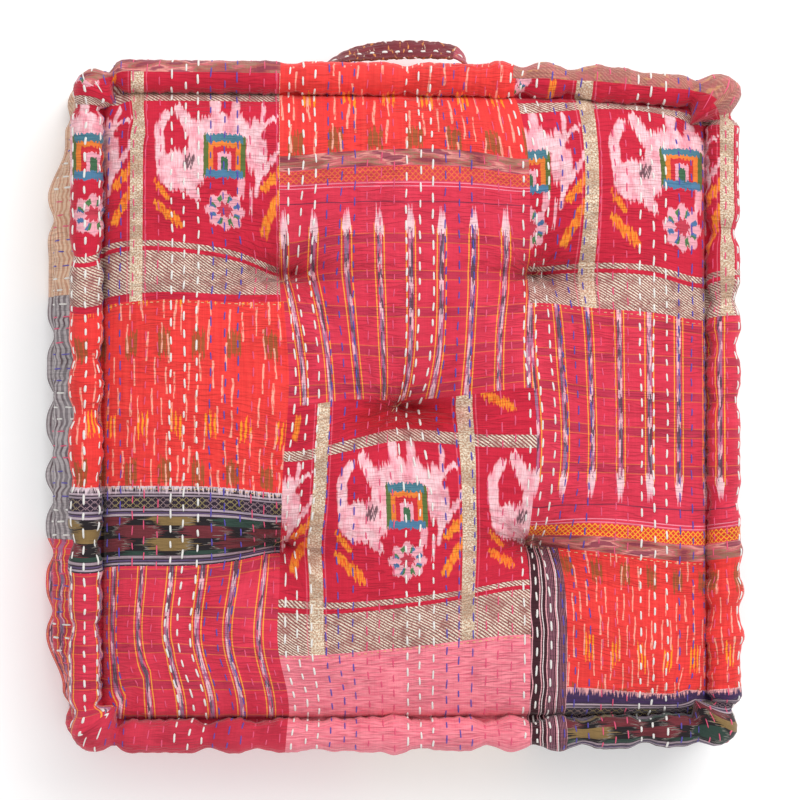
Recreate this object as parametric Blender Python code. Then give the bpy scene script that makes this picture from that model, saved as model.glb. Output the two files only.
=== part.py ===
"""Patchwork floor cushion: a filled and tufted square with rolled edges and a cloth carrying strap.

Lengths are metres and +Z is up. The cushion lies on the plane z = 0, the origin is the centre of its
footprint, and the strap is on the +Y side. The cushion starts as a box that is cut into a grid, and each
point of that grid is then moved to its place on the cloth: the padded face inside the sewn groove, the
rolled edge, the side band, the lower roll, and the underside, which is flat where it bears on the ground.
"""

import math

import bmesh
import bpy
from mathutils import Vector

# The sewn groove, which is the rectangle between the face and the rolled edge
CENTRE_X = 0.009
CENTRE_Y = -0.009
HALF_WIDTH = 0.2625
HALF_DEPTH = 0.2694
CORNER_RADIUS = 0.020

# Rolled edges and side band, as a section that runs outwards from the groove
EDGE_HEIGHT = 0.102
ROLL_RADIUS = 0.014
GROOVE_ANGLE = 200
SIDE_ANGLE = -70
ROLL_STEP = 30
BAND_REACH = 0.0248
BAND_BOW = 0.0015
BAND_HALF_HEIGHT = 0.011

# Padded face
CROWN = 0.034
CROWN_RUN = 0.105
TUFT_DEPTH = 0.036
TUFT_REACH = 0.040
FOLD_DEPTH = 0.005
FOLD_WIDTH = 0.020
UNDER_RUN = 0.024
UNDER_TUFT_DEPTH = 0.016
UNDER_TUFT_REACH = 0.046

# Corners, where the rolled edge is bunched into an ear with a pinch on each side
EAR_SWELL = 0.0055
EAR_LENGTH = 0.015
PINCH_DEPTH = 0.0050
PINCH_FROM_CORNER = 0.029
PINCH_WIDTH = 0.0085

# Unevenness of the hand-made form
TAPER_START = 0.120
TAPER_RUN = 0.170
TAPER_BACK = 0.013
TAPER_FRONT = 0.006
LEAN = 0.021
LEAN_RUN = 0.130
LEAN_LOW = 0.228
LEAN_HIGH = 0.236
LEAN_FADE = 0.060
LEAN_CENTRE_Y = 0.010
LEAN_FULL_BELOW = 0.032
LEAN_NONE_ABOVE = 0.064

# Grid of the box that the cushion is made from
CORNER_CELLS = (0.0, 0.008, 0.016, 0.024, 0.033, 0.045)
MIDDLE_CELLS = 24

# Tufts: where each one is sewn through, from the origin
TUFTS = (
    {"name": "left_back", "x": -0.096, "y": 0.107},
    {"name": "right_back", "x": 0.126, "y": 0.107},
    {"name": "middle", "x": 0.009, "y": -0.009},
    {"name": "left_front", "x": -0.099, "y": -0.130},
    {"name": "right_front", "x": 0.119, "y": -0.128},
)
MIDDLE_TUFT = TUFTS[2]

# Pinches in the upper roll, by side: the place along the side from its middle, and how deep the thread pulls
UPPER_PINCHES = {
    "back": (
        {"at": -0.102, "depth": 0.0022},
        {"at": -0.002, "depth": 0.0030},
        {"at": 0.060, "depth": 0.0018},
        {"at": 0.138, "depth": 0.0042},
        {"at": 0.200, "depth": 0.0045},
    ),
    "right": (
        {"at": 0.158, "depth": 0.0042},
        {"at": 0.098, "depth": 0.0040},
        {"at": 0.056, "depth": 0.0034},
        {"at": 0.008, "depth": 0.0028},
        {"at": -0.082, "depth": 0.0040},
        {"at": -0.166, "depth": 0.0022},
    ),
    "front": (
        {"at": -0.170, "depth": 0.0038},
        {"at": -0.129, "depth": 0.0030},
        {"at": -0.080, "depth": 0.0022},
        {"at": 0.014, "depth": 0.0036},
        {"at": 0.069, "depth": 0.0044},
        {"at": 0.110, "depth": 0.0044},
        {"at": 0.151, "depth": 0.0040},
        {"at": 0.206, "depth": 0.0042},
    ),
    "left": (
        {"at": 0.128, "depth": 0.0030},
        {"at": 0.040, "depth": 0.0030},
        {"at": -0.008, "depth": 0.0044},
        {"at": -0.064, "depth": 0.0030},
        {"at": -0.118, "depth": 0.0036},
        {"at": -0.190, "depth": 0.0030},
    ),
}

# Pinches in the lower roll
LOWER_PINCHES = {
    "back": (
        {"at": -0.180, "depth": 0.0035},
        {"at": -0.105, "depth": 0.0040},
        {"at": 0.100, "depth": 0.0035},
        {"at": 0.176, "depth": 0.0040},
    ),
    "right": (
        {"at": 0.180, "depth": 0.0040},
        {"at": 0.112, "depth": 0.0035},
        {"at": 0.046, "depth": 0.0040},
        {"at": -0.026, "depth": 0.0035},
        {"at": -0.100, "depth": 0.0040},
        {"at": -0.176, "depth": 0.0035},
    ),
    "front": (
        {"at": -0.184, "depth": 0.0035},
        {"at": -0.112, "depth": 0.0040},
        {"at": -0.040, "depth": 0.0035},
        {"at": 0.036, "depth": 0.0040},
        {"at": 0.104, "depth": 0.0035},
        {"at": 0.180, "depth": 0.0040},
    ),
    "left": (
        {"at": 0.166, "depth": 0.0044},
        {"at": 0.108, "depth": 0.0050},
        {"at": 0.063, "depth": 0.0052},
        {"at": 0.009, "depth": 0.0056},
        {"at": -0.039, "depth": 0.0056},
        {"at": -0.081, "depth": 0.0056},
        {"at": -0.129, "depth": 0.0052},
        {"at": -0.180, "depth": 0.0046},
    ),
}
ROLL_PINCH_WIDTH = 0.011

# Carrying strap, sewn flat to the side band at both ends and bowed out between them
STRAP_WIDTH = 0.022
STRAP_THICKNESS = 0.0038
STRAP_CORNER = 0.0012
STRAP_GAP = 0.0003
STRAP_POINTS_PER_STRETCH = 4
PAD_HALF_LENGTH = 0.100
STRAP_ROUTE = (
    {"x": -0.092, "reach": 0.0, "drop": 0.0, "lean": 0},
    {"x": -0.078, "reach": 0.0, "drop": 0.0, "lean": 0},
    {"x": -0.062, "reach": 0.0008, "drop": 0.0, "lean": 0},
    {"x": -0.040, "reach": 0.0068, "drop": 0.0015, "lean": 9},
    {"x": -0.018, "reach": 0.0110, "drop": 0.0040, "lean": 19},
    {"x": 0.008, "reach": 0.0132, "drop": 0.0055, "lean": 27},
    {"x": 0.032, "reach": 0.0118, "drop": 0.0045, "lean": 21},
    {"x": 0.050, "reach": 0.0082, "drop": 0.0020, "lean": 11},
    {"x": 0.063, "reach": 0.0014, "drop": 0.0, "lean": 2},
    {"x": 0.076, "reach": 0.0, "drop": 0.0, "lean": 0},
    {"x": 0.090, "reach": 0.0, "drop": 0.0, "lean": 0},
)

COLOURS = {
    "cushion": {"colour": (0.60, 0.05, 0.08, 1.0), "roughness": 0.78},
    "strap": {"colour": (0.19, 0.03, 0.04, 1.0), "roughness": 0.82},
}


def smooth(value):
    """0 below 0, 1 above 1, and an even S between."""
    value = min(1.0, max(0.0, value))
    return value * value * (3.0 - 2.0 * value)


def bell(distance, width):
    """1 at no distance, falling away evenly on both sides."""
    return math.exp(-((distance / width) ** 2))


def cell_edges(half):
    """Distances from the middle at which the grid is cut, closer together towards the corners."""
    outer = [half - step for step in CORNER_CELLS]
    inner = [outer[-1] * (1 - 2 * n / MIDDLE_CELLS) for n in range(1, MIDDLE_CELLS)]
    return [-edge for edge in outer] + [-edge for edge in inner] + outer[::-1]


def corner_turn(along, half):
    """How far round the corner the groove has turned at this place along a side, in radians."""
    past = abs(along) - (half - CORNER_RADIUS)
    return math.copysign(max(0.0, past) / CORNER_RADIUS * math.pi / 4, along)


def on_groove(along, half, across):
    """A side's groove, running along the side at distance across from the middle: place and outward normal."""
    turn = corner_turn(along, half)
    straight = max(-(half - CORNER_RADIUS), min(half - CORNER_RADIUS, along))
    place = (
        straight + CORNER_RADIUS * math.sin(turn),
        across - CORNER_RADIUS + CORNER_RADIUS * math.cos(turn),
    )
    return place, (math.sin(turn), math.cos(turn))


def groove_point(x, y):
    """Place and outward normal on the rounded groove for a point on the square edge of the grid, and its side."""
    if abs(y) >= HALF_DEPTH - 1e-6:
        sign = math.copysign(1.0, y)
        place, normal = on_groove(x, HALF_WIDTH, HALF_DEPTH)
        side = "back" if sign > 0 else "front"
        return (place[0], sign * place[1]), (normal[0], sign * normal[1]), side, x
    sign = math.copysign(1.0, x)
    place, normal = on_groove(y, HALF_DEPTH, HALF_WIDTH)
    side = "right" if sign > 0 else "left"
    return (sign * place[1], place[0]), (sign * normal[1], normal[0]), side, y


def roll_radius(side, along, pinches):
    """Radius of the rolled edge, with its pinches and with the ear at each corner."""
    half = HALF_WIDTH if side in ("back", "front") else HALF_DEPTH
    from_corner = half - abs(along)
    radius = ROLL_RADIUS + EAR_SWELL * bell(from_corner, EAR_LENGTH)
    radius -= PINCH_DEPTH * bell(from_corner - PINCH_FROM_CORNER, PINCH_WIDTH)
    for pinch in pinches[side]:
        radius -= pinch["depth"] * bell(along - pinch["at"], ROLL_PINCH_WIDTH)
    return radius


def roll_section(radius, middle_height, downwards):
    """Points of one roll, as (reach from the groove, height), from its groove over its crest to the side band."""
    turn = 1 if downwards else -1
    points = []
    for angle in range(GROOVE_ANGLE, SIDE_ANGLE - 1, -ROLL_STEP):
        radians = math.radians(angle)
        reach = ROLL_RADIUS + radius * math.cos(radians)
        points.append((reach, middle_height + turn * radius * math.sin(radians)))
    return points


def edge_section(side, along):
    """Whole section from the groove of the face, over both rolls and the side band, to the lower groove."""
    upper = roll_section(roll_radius(side, along, UPPER_PINCHES), EDGE_HEIGHT - ROLL_RADIUS, True)
    lower = roll_section(roll_radius(side, along, LOWER_PINCHES), ROLL_RADIUS, False)
    middle = EDGE_HEIGHT / 2
    flat = side == "back" and abs(along) < PAD_HALF_LENGTH + MIDDLE_CELL
    bow = 0.0 if flat else BAND_BOW
    band = [
        (BAND_REACH - bow, middle + BAND_HALF_HEIGHT),
        (BAND_REACH, middle),
        (BAND_REACH - bow, middle - BAND_HALF_HEIGHT),
    ]
    return upper + band + lower[::-1]


def rise(distance, run):
    """A padded edge: steep at the groove, level once it is run away from it."""
    short = max(0.0, 1.0 - max(0.0, distance) / run)
    return math.sqrt(1.0 - short * short)


def fold_depth(x, y):
    """The soft folds that run from the middle tuft to the other four."""
    depth = 0.0
    start = Vector((MIDDLE_TUFT["x"], MIDDLE_TUFT["y"]))
    for tuft in TUFTS:
        run = Vector((tuft["x"], tuft["y"])) - start
        if run.length < 1e-6:
            continue
        along = min(1.0, max(0.0, (Vector((x, y)) - start).dot(run) / run.length_squared))
        off = (Vector((x, y)) - start - run * along).length
        depth = max(depth, FOLD_DEPTH * bell(off, FOLD_WIDTH))
    return depth


def face_height(x, y, floor_height):
    """Height of the padded face above the ground, at a place counted from the origin."""
    off_x, off_y = abs(x - CENTRE_X), abs(y - CENTRE_Y)
    padding = rise(HALF_WIDTH - off_x, CROWN_RUN) * rise(HALF_DEPTH - off_y, CROWN_RUN)
    pull = fold_depth(x, y)
    for tuft in TUFTS:
        away = math.hypot(x - tuft["x"], y - tuft["y"])
        pull = max(pull, TUFT_DEPTH * math.exp(-away / TUFT_REACH))
    swell = 0.0016 * math.sin(23.0 * x + 0.7) * math.cos(27.0 * y - 0.4)
    return floor_height + (CROWN + swell) * padding - pull * padding


def under_height(x, y, groove_height):
    """Height of the underside: level with the ground but for the groove and the tufts."""
    off_x, off_y = abs(x - CENTRE_X), abs(y - CENTRE_Y)
    near = max(0.0, 1.0 - min(HALF_WIDTH - off_x, HALF_DEPTH - off_y) / UNDER_RUN)
    height = groove_height * near * near
    for tuft in TUFTS:
        away = math.hypot(x - tuft["x"], y - tuft["y"]) / UNDER_TUFT_REACH
        height = max(height, UNDER_TUFT_DEPTH * max(0.0, 1.0 - away) ** 2)
    return height


def lean_and_taper(point):
    """The unevenness of the whole form: the right end is narrower, and the foot spreads to the left."""
    x, y, z = point
    narrow = smooth((x - TAPER_START) / TAPER_RUN)
    back_share = 0.5 + 0.5 * (y - CENTRE_Y) / HALF_DEPTH
    y += narrow * (TAPER_FRONT * (1.0 - back_share) - TAPER_BACK * back_share)
    low = 1.0 - smooth((z - LEAN_FULL_BELOW) / (LEAN_NONE_ABOVE - LEAN_FULL_BELOW))
    left = smooth((CENTRE_X - HALF_WIDTH + LEAN_RUN - x) / LEAN_RUN)
    from_middle = y - LEAN_CENTRE_Y
    reach = LEAN_HIGH if from_middle > 0 else LEAN_LOW
    spread = smooth((reach - abs(from_middle)) / LEAN_FADE)
    return (x - LEAN * low * left * spread, y, max(0.0, z))


X_CELLS = cell_edges(HALF_WIDTH)
Y_CELLS = cell_edges(HALF_DEPTH)
MIDDLE_CELL = X_CELLS[len(X_CELLS) // 2] - X_CELLS[len(X_CELLS) // 2 - 1]
EDGE_ROWS = len(edge_section("back", 0.0)) - 1


def inner_plan(column, row):
    """Plan position of a grid point inside the groove, drawn in a little where the groove rounds its corners."""
    x, y = X_CELLS[column], Y_CELLS[row]
    share_x, share_y = abs(x) / HALF_WIDTH, abs(y) / HALF_DEPTH
    share = max(share_x, share_y)
    if share < 1e-6:
        return x, y
    if share_y >= share_x:
        edge = (x / share, math.copysign(HALF_DEPTH, y))
    else:
        edge = (math.copysign(HALF_WIDTH, x), y / share)
    place = groove_point(*edge)[0]
    blend = share**8
    return x + (place[0] - edge[0]) * blend, y + (place[1] - edge[1]) * blend


def cushion_point(column, row, level):
    """Where one point of the box grid lies on the cushion. Level 0 is the face and EDGE_ROWS the underside."""
    last = len(X_CELLS) - 1
    if column in (0, last) or row in (0, last):
        place, normal, side, along = groove_point(X_CELLS[column], Y_CELLS[row])
        reach, height = edge_section(side, along)[level]
        x = CENTRE_X + place[0] + normal[0] * reach
        y = CENTRE_Y + place[1] + normal[1] * reach
        return lean_and_taper((x, y, height))
    plan = inner_plan(column, row)
    x, y = CENTRE_X + plan[0], CENTRE_Y + plan[1]
    groove_drop = ROLL_RADIUS * math.sin(math.radians(GROOVE_ANGLE))
    if level == 0:
        return lean_and_taper((x, y, face_height(x, y, EDGE_HEIGHT - ROLL_RADIUS + groove_drop)))
    return lean_and_taper((x, y, under_height(x, y, ROLL_RADIUS - groove_drop)))


def cut_across(mesh, axis, cuts):
    """Cuts every edge that runs along one axis of the box into equal lengths."""
    edges = [
        edge
        for edge in mesh.edges
        if abs((edge.verts[0].co - edge.verts[1].co)[axis]) > 1e-6
    ]
    bmesh.ops.subdivide_edges(mesh, edges=edges, cuts=cuts, use_grid_fill=True)


def plain_material(name):
    """The plain finish of one piece."""
    material = bpy.data.materials.new(name)
    material.use_nodes = True
    shader = material.node_tree.nodes["Principled BSDF"]
    shader.inputs["Base Color"].default_value = COLOURS[name]["colour"]
    shader.inputs["Roughness"].default_value = COLOURS[name]["roughness"]
    shader.inputs["Metallic"].default_value = 0.0
    return material


def make_cushion(collection):
    """The filled body, from a box that is cut into a grid and then shaped."""
    cells = len(X_CELLS) - 1
    box = bmesh.new()
    bmesh.ops.create_cube(box, size=2.0)
    cut_across(box, 2, EDGE_ROWS - 1)
    cut_across(box, 0, cells - 1)
    cut_across(box, 1, cells - 1)
    for vertex in box.verts:
        column = round((vertex.co.x + 1.0) / 2.0 * cells)
        row = round((vertex.co.y + 1.0) / 2.0 * cells)
        level = round((1.0 - vertex.co.z) / 2.0 * EDGE_ROWS)
        vertex.co = cushion_point(column, row, level)
    bmesh.ops.recalc_face_normals(box, faces=box.faces)
    data = bpy.data.meshes.new("cushion")
    box.to_mesh(data)
    box.free()
    data.shade_smooth()
    cushion = bpy.data.objects.new("cushion", data)
    cushion.data.materials.append(plain_material("cushion"))
    collection.objects.link(cushion)
    return cushion


def through_points(rows, key):
    """Values on a smooth curve through one column of the route, with a few between each pair of rows."""
    values = [row[key] for row in rows]
    padded = [values[0]] + values + [values[-1]]
    found = []
    for before, start, end, after in zip(padded, padded[1:], padded[2:], padded[3:]):
        for step in range(STRAP_POINTS_PER_STRETCH):
            t = step / STRAP_POINTS_PER_STRETCH
            found.append(
                0.5
                * (
                    2 * start
                    + (end - before) * t
                    + (2 * before - 5 * start + 4 * end - after) * t**2
                    + (3 * start - before - 3 * end + after) * t**3
                )
            )
    return found + [values[-1]]


def strap_section(collection):
    """The strap's flat section with rounded corners, as a closed outline for the sweep."""
    outline = bpy.data.curves.new("strap_section", "CURVE")
    outline.dimensions = "2D"
    corners = []
    for quarter, (side_x, side_y) in enumerate(((1, 1), (-1, 1), (-1, -1), (1, -1))):
        for angle in (quarter * 90, quarter * 90 + 45, quarter * 90 + 90):
            radians = math.radians(angle)
            x = side_x * (STRAP_THICKNESS / 2 - STRAP_CORNER) + STRAP_CORNER * math.cos(radians)
            y = side_y * (STRAP_WIDTH / 2 - STRAP_CORNER) + STRAP_CORNER * math.sin(radians)
            corners.append((x, y))
    spline = outline.splines.new("POLY")
    spline.points.add(len(corners) - 1)
    for point, (x, y) in zip(spline.points, corners[::-1]):
        point.co = (x, y, 0.0, 1.0)
    spline.use_cyclic_u = True
    section = bpy.data.objects.new("strap_section", outline)
    section.hide_render = True
    section.display_type = "WIRE"
    collection.objects.link(section)
    return section


def make_strap(collection, guides):
    """The carrying strap: its flat section swept along the route, leaning out where it hangs free."""
    data = bpy.data.curves.new("carry_strap", "CURVE")
    data.dimensions = "3D"
    data.twist_mode = "Z_UP"
    data.bevel_mode = "OBJECT"
    data.bevel_object = strap_section(guides)
    data.use_fill_caps = True
    band_face = CENTRE_Y + HALF_DEPTH + BAND_REACH
    inner = band_face + STRAP_GAP + STRAP_THICKNESS / 2
    route = zip(*(through_points(STRAP_ROUTE, key) for key in ("x", "reach", "drop", "lean")))
    places = list(route)
    spline = data.splines.new("POLY")
    spline.points.add(len(places) - 1)
    for point, (x, reach, drop, lean) in zip(spline.points, places):
        point.co = (x, inner + max(0.0, reach), EDGE_HEIGHT / 2 - max(0.0, drop), 1.0)
        point.tilt = math.radians(max(0.0, lean))
    strap = bpy.data.objects.new("carry_strap", data)
    data.materials.append(plain_material("strap"))
    collection.objects.link(strap)
    return strap


def main():
    """Clears the scene and builds the two pieces."""
    for old in list(bpy.data.objects):
        bpy.data.objects.remove(old)
    pieces = bpy.data.collections.new("patchwork_cushion")
    guides = bpy.data.collections.new("guides")
    for collection in (pieces, guides):
        bpy.context.scene.collection.children.link(collection)
    make_cushion(pieces)
    make_strap(pieces, guides)


main()
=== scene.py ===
"""Looks of the patchwork floor cushion: its cover, its stitches, its tufts and its carrying strap.

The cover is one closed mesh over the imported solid. It is made as cloth is: a flat chart of the patches, in
metres, is laid on the padded form, and a table of pulls draws it out of line where the photo shows that.
Every pattern reads the chart, so seams, stripes and stitches bend together.
"""

from __future__ import annotations

import logging
import math
from collections.abc import Sequence
from dataclasses import dataclass, field
from enum import Enum

import bpy
import numpy as np
from mathutils import Matrix, Vector


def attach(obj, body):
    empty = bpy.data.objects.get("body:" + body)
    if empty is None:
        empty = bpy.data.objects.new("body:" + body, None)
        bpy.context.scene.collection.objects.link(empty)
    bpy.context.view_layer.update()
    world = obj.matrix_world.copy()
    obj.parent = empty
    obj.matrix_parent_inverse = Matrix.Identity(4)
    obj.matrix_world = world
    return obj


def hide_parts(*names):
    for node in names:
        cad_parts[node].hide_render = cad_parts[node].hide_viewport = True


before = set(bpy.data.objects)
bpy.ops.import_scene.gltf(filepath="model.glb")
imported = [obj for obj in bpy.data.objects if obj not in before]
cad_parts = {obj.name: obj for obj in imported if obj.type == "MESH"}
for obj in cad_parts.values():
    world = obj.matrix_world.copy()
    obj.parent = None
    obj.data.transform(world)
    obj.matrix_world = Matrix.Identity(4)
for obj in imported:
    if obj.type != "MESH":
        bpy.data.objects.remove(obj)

LOG = logging.getLogger("patchwork_cushion")
MM = 0.001
MIDDLE_X, MIDDLE_Y = 0.009, -0.009
UNDER_SHIFT = -2.0
SEED = 7

Array = np.ndarray

WHITE = (1.0, 1.0, 1.0, 1.0)
Place = tuple[float, float]
Socket = bpy.types.NodeSocket
Piece = bpy.types.Object


def new_object(name: str, data: bpy.types.ID) -> Piece:
    """A new object in the scene, with its data."""
    made = bpy.data.objects.new(name, data)
    bpy.context.scene.collection.objects.link(made)
    return made


def new_mesh(name: str, points: Sequence[tuple], faces: Sequence[tuple]) -> Piece:
    """A new object in the scene with a mesh of these points and faces."""
    data = bpy.data.meshes.new(name)
    data.from_pydata(points, [], faces)
    return new_object(name, data)


def smooth(value: Array) -> Array:
    """Goes from 0 to 1 as value does, evenly at both ends."""
    held = np.clip(value, 0.0, 1.0)
    return held * held * (3.0 - 2.0 * held)


def bell(distance: Array, width: float) -> Array:
    """1 at no distance, falling away evenly."""
    return np.exp(-((distance / width) ** 2))


class Fabric(Enum):
    """The cloths of the cover, each a material slot of the cover's mesh."""

    ELEPHANT = 0
    SCARLET = 1
    STRIPE = 2
    BROCADE = 3
    BORDER = 4
    DARK_STRIPE = 5
    PINK_SILK = 6
    FLAME = 7
    BAND_BEIGE = 8
    BAND_GREY = 9
    UNDERSIDE = 10
    STRIPE_BRIGHT = 11
    BORDER_PALE = 12
    CRIMSON = 13


@dataclass(frozen=True)
class Tuft:
    """A place where the cushion is sewn through, from the frame's origin, and how strong the painted shade in
    the dip round it is.
    """

    x: float
    y: float
    shade: float = 0.25


@dataclass(frozen=True)
class Pull:
    """A place on the chart where the cloth is drawn out of line, by how much, and how far that reaches."""

    u: float
    v: float
    by_u: float
    by_v: float
    reach_u: float
    reach_v: float


@dataclass(frozen=True)
class Pinch:
    """A place along a side where thread draws the rolled edge in."""

    at: float
    depth: float


def pinches(*pairs: Place) -> tuple[Pinch, ...]:
    """Pinches from their places and depths in millimetres."""
    return tuple(Pinch(at * MM, depth * MM) for at, depth in pairs)


@dataclass(frozen=True)
class Ear:
    """Half of a corner's swelling: how far it swells, and the notch beside it, counted from the corner."""

    at: float
    depth: float
    swell: float


TUFTS = (
    Tuft(-0.096, 0.107),
    Tuft(0.126, 0.107),
    Tuft(0.009, -0.009, 1.0),
    Tuft(-0.099, -0.130),
    Tuft(0.119, -0.128),
)

TUFT_DRAW = 0.28
TUFT_DRAW_REACH = 0.040

UPPER_PINCHES = {
    "back": pinches(
        (-102, 2.2), (-2, 3), (80, -2.6), (100, 1.6), (118, -1.6), (142, 3), (168, -3),
        (188, -2.8),
    ),
    "right": pinches(
        (158, 4.2), (98, 4), (56, 3.4), (8, 2.8), (-82, 2.6), (-126, -2.2), (-160, -3.4),
        (-200, -3.4),
    ),
    "front": pinches(
        (-170, 3.8), (-129, 3), (-80, 2.2), (-34, -2.4), (-12, -4.2), (14, 1.4),
        (69, 4.4), (110, 4.4), (151, 4), (206, 4.2),
    ),
    "left": pinches((128, 3), (40, 3), (-8, 4.4), (-64, 3), (-118, 3.6), (-190, 3)),
}

LOWER_PINCHES = {
    "back": pinches((-180, 3.5), (-105, 4), (100, 3.5), (176, 4)),
    "right": pinches((180, 4), (112, 3.5), (46, 4), (-26, 3.5), (-100, 4), (-176, 3.5)),
    "front": pinches((-184, 3.5), (-112, 4), (-40, 3.5), (36, 4), (104, 3.5), (180, 4)),
    "left": pinches((166, 4.4), (63, 5), (9, 5.2), (-39, 5.6), (-81, 5.6), (-129, 5.2), (-180, 4.6)),
}

EARS = {
    "back": (Ear(0.0100, 0.0100, 0.0034), Ear(0.0140, 0.0080, 0.0150)),
    "right": (Ear(0.0102, 0.0110, 0.0100), Ear(0.0117, 0.0125, 0.0160)),
    "front": (Ear(0.0144, 0.0085, 0.0088), Ear(0.0140, 0.0050, 0.0100)),
    "left": (Ear(0.0120, 0.0075, 0.0088), Ear(0.0160, 0.0050, 0.0050)),
}

PULLS = tuple(
    Pull(*(part * MM for part in row))
    for row in (
        (-226, 134, 0, 7, 60, 35),
        (-106, 128, 0, -10, 35, 20),
        (-294, 117, 0, -12, 25, 60),
        (-196, 80, 0, 5, 55, 25),
        (-106, -136, 0, 8, 45, 22),
        (-294, -140, 0, -8, 30, 60),
        (14, 219, 0, 4.5, 60, 30),
        (-106, 217, 0, -4, 30, 30),
        (104, 214, 0, -6, 30, 30),
        (106, 8, 0, 8, 45, 40),
        (-100, -20, 0, -11, 42, 45),
        (106, -185, 0, 15, 80, 50),
        (-90, -190, 0, -7, 60, 50),
        (240, 200, 0, 11, 90, 55),
        (255, 117, 0, -9, 30, 40),
        (255, -110, 0, -8, 60, 50),
        (-105, 26, 5.5, 0, 40, 50),
        (107, 290, -13, 0, 60, 50),
        (107, -35, 5.5, 0, 50, 55),
        (4, -20, -7, 0, 34, 45),
        (0, 0, -4, -1.5, 600, 600),
        (20, -30, 0, 5, 50, 20),
        (195, 260, 0, 20, 55, 20),
        (235, -230, 0, -11, 60, 50),
        (-180, -195, -7, 0, 130, 40),
        (-180, -262, 8.5, 0, 130, 50),
    )
)


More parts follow.
